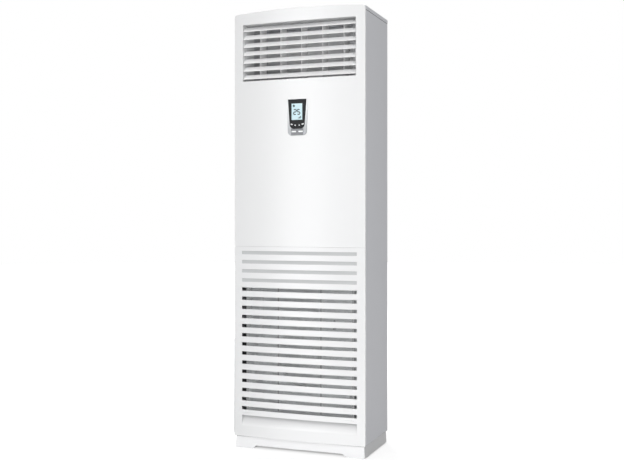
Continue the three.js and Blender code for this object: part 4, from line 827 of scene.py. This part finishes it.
# Display surround: a silver-painted moulding let into the upper panel, a little proud of it.
# It holds the black window in a step, and has two holes for the long buttons at its foot. Its colour
# is painted paler towards the top and darker at the foot, as light and shade, and is darker still
# round the long buttons.
DISPLAY_FRONT = front_face(0) - 2.5
DISPLAY_BACK = -137.0
window_outline = (71, 57, 1156.0, 1260.9, 16)
SILVER, LIT_SILVER, FOOT_SILVER = (0.35, 0.36, 0.375), (0.72, 0.725, 0.735), (0.16, 0.165, 0.175)
silver = Finish("silver_paint", SILVER, 0.34, 0.3)
flakes = silver.node("ShaderNodeTexVoronoi", {}, {"Vector": silver.place, "Scale": 2600}, "Color")
sparkle = silver.node("ShaderNodeSeparateColor", {}, {0: flakes})
foot_field = (abs(silver.along("X")) < 0.0235) * (silver.along("Z") < 1.1572)
# Painted light and shade: paler towards the top and darker towards the foot.
silver_shading = silver.mixed(silver.ramp(silver.along("Z"), 1.15, 1.24), SILVER, LIT_SILVER)
silver_shading = silver.mixed(foot_field, silver_shading, FOOT_SILVER)
silver.feed("Base Color", silver.mixed(0.25 * sparkle, silver_shading, FOOT_SILVER))
silver.bump(silver.noise(900, 2), 0.00003, 0.3)
outline = display_outline(80, 72, DISPLAY_BOTTOM, DISPLAY_TOP, 14)
surround = upright_plate("display_surround", outline, DISPLAY_FRONT, DISPLAY_BACK)
front_edge = lambda a, b: max(a.y, b.y) < DISPLAY_FRONT + 0.01
edges_bevelled(surround, 1.6, 5, front_edge)
step_outline, opening_outline = (display_outline(*window_outline, margin) for margin in (0.3, -1.5))
step = upright_plate("window_step", step_outline, DISPLAY_FRONT - 1, DISPLAY_FRONT + 3.3)
opening = upright_plate("window_opening", opening_outline, DISPLAY_FRONT - 1, -130)
cut(surround, step, opening)
LONG_BUTTONS = [(-13, 17, 5, 0.0), (13, 17, 5, 0.0)]
LONG_BUTTON_HEIGHT = 1146.0


def button_solid(name, across, height, width, tall, turn, front, back, margin=0.0):
    """A pill-shaped block from front to back, turned a little about the line of sight."""
    half, high = width / 2 + margin, tall / 2 + margin
    block = cuboid(name, (-half, half), (front, back), (-high, high))
    edges_bevelled(block, high - 0.3, 5, lambda a, b: abs(a.y - b.y) > 0.1)
    block.rotation_euler = (0, turn, 0)
    block.location = (across * MM, 0, height * MM)
    return settled(block)


for across, width, tall, turn in LONG_BUTTONS:
    spot = (across, LONG_BUTTON_HEIGHT, width, tall, turn)
    cut(surround, button_solid("button_hole", *spot, DISPLAY_FRONT - 1, -130, 0.3))
    cut(surround, button_solid("button_pocket", *spot, DISPLAY_FRONT + 3, -130, 1.3))
fitted(eased(surround, 0.25), silver, "cabinet", "silver_plastic", "display_bezel")

# Display window: a gloss black acrylic plate, level with the surround, cut for the screen and for
# four small buttons that stand in a shallow curve under it, the outer two turned a little.
gloss = Finish("black_gloss", (0.012, 0.0125, 0.014), 0.06, specular_ior_level=0.08)
gloss.feed("Roughness", 0.05 + 0.05 * gloss.noise(14))
SCREEN = ((-22.3, 22.3), (1186.4, 1248.5))
window = upright_plate("window_plate", display_outline(*window_outline), DISPLAY_FRONT, DISPLAY_FRONT + 3)
edges_bevelled(window, 0.5, 3, front_edge)
cut(window, cuboid("screen_opening", SCREEN[0], (DISPLAY_FRONT - 1, DISPLAY_FRONT + 4), SCREEN[1]))
SMALL_BUTTONS = [
    (-21, 1172, 8, 4, 0.3), (-8, 1168.5, 5, 4, 0.1),
    (8, 1168.5, 5, 4, -0.1), (21, 1172, 8, 4, -0.3),
]
for across, height, width, tall, turn in SMALL_BUTTONS:
    hole = (across, height, width, tall, turn, DISPLAY_FRONT - 1, DISPLAY_FRONT + 4, 0.35)
    cut(window, button_solid("button_hole", *hole))
fitted(eased(window, 0.2), gloss, "cabinet", "window_black", "display_window")

# Buttons: white keys, domed a little, that stand half a millimetre proud and press in by one.
# Each has a shoulder behind its hole that keeps it in.
key_white = Finish("key_white", (0.86, 0.87, 0.88), 0.3, coat_weight=0.2, coat_roughness=0.1)
key_white.bump(key_white.noise(1200, 2), 0.00002, 0.3)
keys = [(f"window_button_{i}", spot) for i, spot in enumerate(SMALL_BUTTONS, 1)]
keys += [(f"bezel_button_{i}", (across, LONG_BUTTON_HEIGHT, width, tall, turn))
         for i, (across, width, tall, turn) in enumerate(LONG_BUTTONS, 1)]
for body, spot in keys:
    cap = button_solid(f"{body}_key", *spot, DISPLAY_FRONT - 0.5, DISPLAY_BACK - 1.1)
    edges_bevelled(cap, 0.35, 3, lambda a, b: max(a.y, b.y) < DISPLAY_FRONT - 0.49)
    welded(cap, button_solid("shoulder", *spot, DISPLAY_FRONT + 3.3, DISPLAY_FRONT + 4.5, 0.95))
    fitted(eased(cap, 0.1, 1), key_white, body, "button_white", body)

# Screen: pale cyan glass with a dark rim, sunk a little behind the window, with a two-digit room
# temperature. The digits are the usual seven dark bars, and small marks show the mode and the fan's
# speed.
screen_blue = Finish("screen_cyan", (0.63, 0.80, 0.85), 0.15, specular_ior_level=0.2)
glow = screen_blue.ramp(screen_blue.noise(10), 0.3, 0.7)
lit = screen_blue.mixed(glow, (0.60, 0.78, 0.84), (0.67, 0.83, 0.87))
across, up = screen_blue.along("X"), screen_blue.along("Z")
clear = (across > -0.0216) * (across < 0.0193) * (up > 1.1877) * (up < 1.2457)
screen_blue.feed("Base Color", screen_blue.mixed(clear, (0.02, 0.022, 0.024), lit))
SCREEN_FRONT = DISPLAY_FRONT + 0.6
screen = cuboid("screen_glass", (-22, 22), (SCREEN_FRONT, SCREEN_FRONT + 2), (1186.7, 1248.2))
fitted(eased(screen, 0.15, 1), screen_blue, "cabinet", "lcd", "display_lcd")

ink = Finish("segment_ink", (0.02, 0.03, 0.036), 0.35, specular_ior_level=0.1)
ink.feed("Roughness", 0.3 + 0.1 * ink.noise(200))
INK_DEPTH = (SCREEN_FRONT - 0.05, SCREEN_FRONT + 0.5)
DIGIT_WIDTH, DIGIT_HEIGHT, DIGIT_FOOT, BAR = 10.0, 17.4, 1206.9, 3.4
BARS = {"a": (0.5, 1, 0), "b": (1, 0.75, 1), "c": (1, 0.25, 1), "d": (0.5, 0, 0),
        "e": (0, 0.25, 1), "f": (0, 0.75, 1), "g": (0.5, 0.5, 0)}


def segment_bar(centre, length, upright):
    """One bar with pointed ends, lying or standing."""
    half, point = length / 2 - 0.3, BAR / 2
    shape = [(-half, 0), (-half + point, -point), (half - point, -point),
             (half, 0), (half - point, point), (-half + point, point)]
    if upright:
        shape = [(-z, x) for x, z in shape]
    placed = [(x + centre[0], z + centre[1]) for x, z in shape]
    return upright_plate("segment_bar", placed, *INK_DEPTH)


marks = []
for left_edge, bars in ((-13.9, "abged"), (0.3, "afgcd")):
    for bar in bars:
        across, up, upright = BARS[bar]
        centre = (left_edge + DIGIT_WIDTH * across, DIGIT_FOOT + DIGIT_HEIGHT * up)
        marks.append(segment_bar(centre, DIGIT_HEIGHT / 2 if upright else DIGIT_WIDTH, upright))
for turn in range(3):
    arm = cuboid("mode_mark", (-4.6, 4.6), INK_DEPTH, (-1.2, 1.2))
    arm.rotation_euler = (0, turn * pi / 3, 0)
    arm.location = (-12.8 * MM, 0, 1237.4 * MM)
    marks.append(settled(arm))
for step in range(4):
    across = 3.6 + 2.9 * step
    marks.append(cuboid("speed_mark", (across, across + 2), INK_DEPTH, (1192.5, 1195 + 2 * step)))
nothing_selected()
for mark in marks:
    mark.select_set(True)
bpy.context.view_layer.objects.active = marks[0]
bpy.ops.object.join()
marks[0].name = "screen_marks"
fitted(marks[0], ink, "cabinet", "lcd")

# Circuit boards: green laminate with fine tracks, one behind the window and one in the electric box.
# Both are hidden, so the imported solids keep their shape.
board_green = Finish("circuit_board", (0.03, 0.16, 0.08), 0.4)
tracks = {"Vector": board_green.place, "Scale": 90}
tracks = board_green.node("ShaderNodeTexBrick", {"offset": 0.5}, tracks, "Fac")
board_green.feed("Base Color", board_green.mixed(tracks, (0.025, 0.14, 0.07), (0.05, 0.22, 0.11)))
dressed(board_green, "display_board", "control_board")

# Pipe cover: a shallow matt cap, low on the left side, over the hole where the pipes leave, coloured
# a light grey, darker than the front. It is notched at the foot of its front edge and held by one
# screw at its top.
COVER_OUTER, COVER_SEAT = -256.0, -250.3
COVER_DEPTH = (-131.0, -55.0)
COVER_HEIGHT = (45.3, 399.0)
pipe_cover = cuboid("pipe_cap", (COVER_OUTER, COVER_SEAT), COVER_DEPTH, COVER_HEIGHT)
edges_bevelled(pipe_cover, 5, 4, lambda a, b: abs(a.x - b.x) > 1 and min(a.z, b.z) > 300)
edges_bevelled(pipe_cover, 1.6, 4, lambda a, b: max(a.x, b.x) < COVER_OUTER + 0.1)
room = ((COVER_OUTER + 2, COVER_SEAT + 1), (-129, -57), (47.3, 397))
cut(pipe_cover, cuboid("cover_room", *room))
notch = cuboid("cover_notch", (COVER_OUTER - 1, COVER_SEAT + 1), (-132, -127), (44.3, 53.3))
cut(pipe_cover, notch)
welded(pipe_cover, cuboid("notch_wall", (COVER_OUTER + 0.4, COVER_SEAT), (-127, -125), (45.3, 55.3)))
welded(pipe_cover, cuboid("notch_roof", (COVER_OUTER + 0.4, COVER_SEAT), (-130.6, -125), (53.3, 55.3)))
screw_spot = {"y": -93.0, "z": 369.5}
welded(pipe_cover, rod("screw_boss", "x", 4.5, (COVER_OUTER + 0.4, COVER_SEAT), screw_spot, 24))
cut(pipe_cover, rod("screw_seat", "x", 4.6, (COVER_OUTER - 1, COVER_OUTER + 0.6), screw_spot, 24))
cut(pipe_cover, rod("screw_bore", "x", 2, (COVER_OUTER - 1, COVER_SEAT + 1), screw_spot, 16))
cover_grey = Finish("cover_moulding", (0.56, 0.564, 0.572), 0.5)
cover_grey.bump(cover_grey.noise(1100, 3), 0.00004, 0.4)
cover_grey.feed("Roughness", 0.44 + 0.12 * cover_grey.noise(24))
fitted(eased(pipe_cover, 0.3), cover_grey, "cabinet", "front_plastic", "pipe_cover")
cover_screw = screw_head("pipe_cover_screw_head", 0.4)
shank = rod("screw_shank", "y", 1.7, (-9, 0.2), {}, 12)
welded(cover_screw, shank)
cover_screw.rotation_euler = (0, 0, pi / 2)
cover_screw.location = ((COVER_OUTER + 0.6) * MM, -93.0 * MM, 369.5 * MM)
fitted(settled(cover_screw), plated, "cabinet", "galvanised", "pipe_cover_screw")

# Fan wheel and motor: a galvanised wheel of forward-curved blades on a hub, and a pressed steel
# motor case behind it. Both are inside the scroll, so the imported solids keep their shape.
dressed(zinc, "fan_wheel")
motor_grey = Finish("motor_case", (0.34, 0.35, 0.36), 0.35, 0.8)
motor_grey.bump(motor_grey.noise(200, 2), 0.00004, 0.3)
dressed(motor_grey, "fan_motor")

# Heat exchanger: a stack of thin aluminium fins on copper tubes, whose bends show at both ends.
# The fins show as fine upright lines across the block, 1.6 mm apart, with painted shade in the
# gaps between them.
fins = Finish("aluminium_fins", (0.70, 0.71, 0.72), 0.4, 0.7)
FIN_PITCH = 1.6
phase = fins.along("X") * (2 * pi / (FIN_PITCH * MM))
wave = fins.node("ShaderNodeMath", {"operation": "SINE"}, {0: phase})
# Painted shade: the dark stripes between the fins.
fins.feed("Base Color", fins.mixed(fins.ramp(wave, -0.6, 0.6), (0.30, 0.31, 0.32), (0.74, 0.75, 0.76)))
fins.bump(wave, 0.0002, 0.6)
dressed(fins, "coil_core")
copper = Finish("drawn_copper", (0.60, 0.27, 0.15), 0.32, 0.9)
tarnish = copper.ramp(copper.noise(18, 4), 0.4, 0.65)
copper.feed("Base Color", copper.mixed(tarnish, (0.64, 0.30, 0.17), (0.42, 0.19, 0.11)))
copper.feed("Roughness", 0.26 + 0.2 * tarnish)
dressed(copper, "coil_end_plate_left", "coil_end_plate_right")

# Refrigerant pipes: copper in near-black sleeves of closed-cell foam with a dull, fine-grained skin.
# They run down the left side from the coil to the flare nuts behind the pipe cover.
sleeve = Finish("foam_sleeve", (0.055, 0.055, 0.056), 0.85)
sleeve.bump(sleeve.noise(900, 3), 0.0002, 0.6)
dressed(sleeve, "gas_pipe", "liquid_pipe")

# Drain pan, hose, sensor and cable gland: black mouldings and a ribbed white hose, and white foam
# that lines the rear panel behind the duct. Only the gland shows, so only it gets rounded edges.
dressed(black, "drain_pan", "room_sensor")
hose_white = Finish("hose_plastic", (0.55, 0.56, 0.57), 0.5)
ribs = hose_white.node("ShaderNodeTexWave", {"wave_type": "BANDS", "bands_direction": "Z"},
                       {"Vector": hose_white.place, "Scale": 70}, "Fac")
hose_white.bump(ribs, 0.0006, 0.6)
dressed(hose_white, "drain_hose")
foam = Finish("liner_foam", (0.84, 0.845, 0.85), 0.92)
cells = foam.node("ShaderNodeTexVoronoi", {}, {"Vector": foam.place, "Scale": 420}, "Distance")
foam.bump(cells, 0.0005, 0.7)
foam.feed("Base Color", foam.mixed(foam.noise(60, 3), (0.80, 0.805, 0.81), (0.88, 0.885, 0.89)))
dressed(foam, "duct_liner")
gland = copied("gland_bush", "cable_gland", 0.4, 2, 30)
fitted(gland, black, "cabinet", "black_plastic", "cable_gland")

# Wall bracket: a galvanised plate at the top of the rear panel, which keeps the tall cabinet
# from tipping. It has two upright slots for the wall's screws.
bracket = copied("wall_plate", "wall_bracket", 0.3)
fitted(bracket, zinc, "cabinet", "galvanised", "wall_bracket")
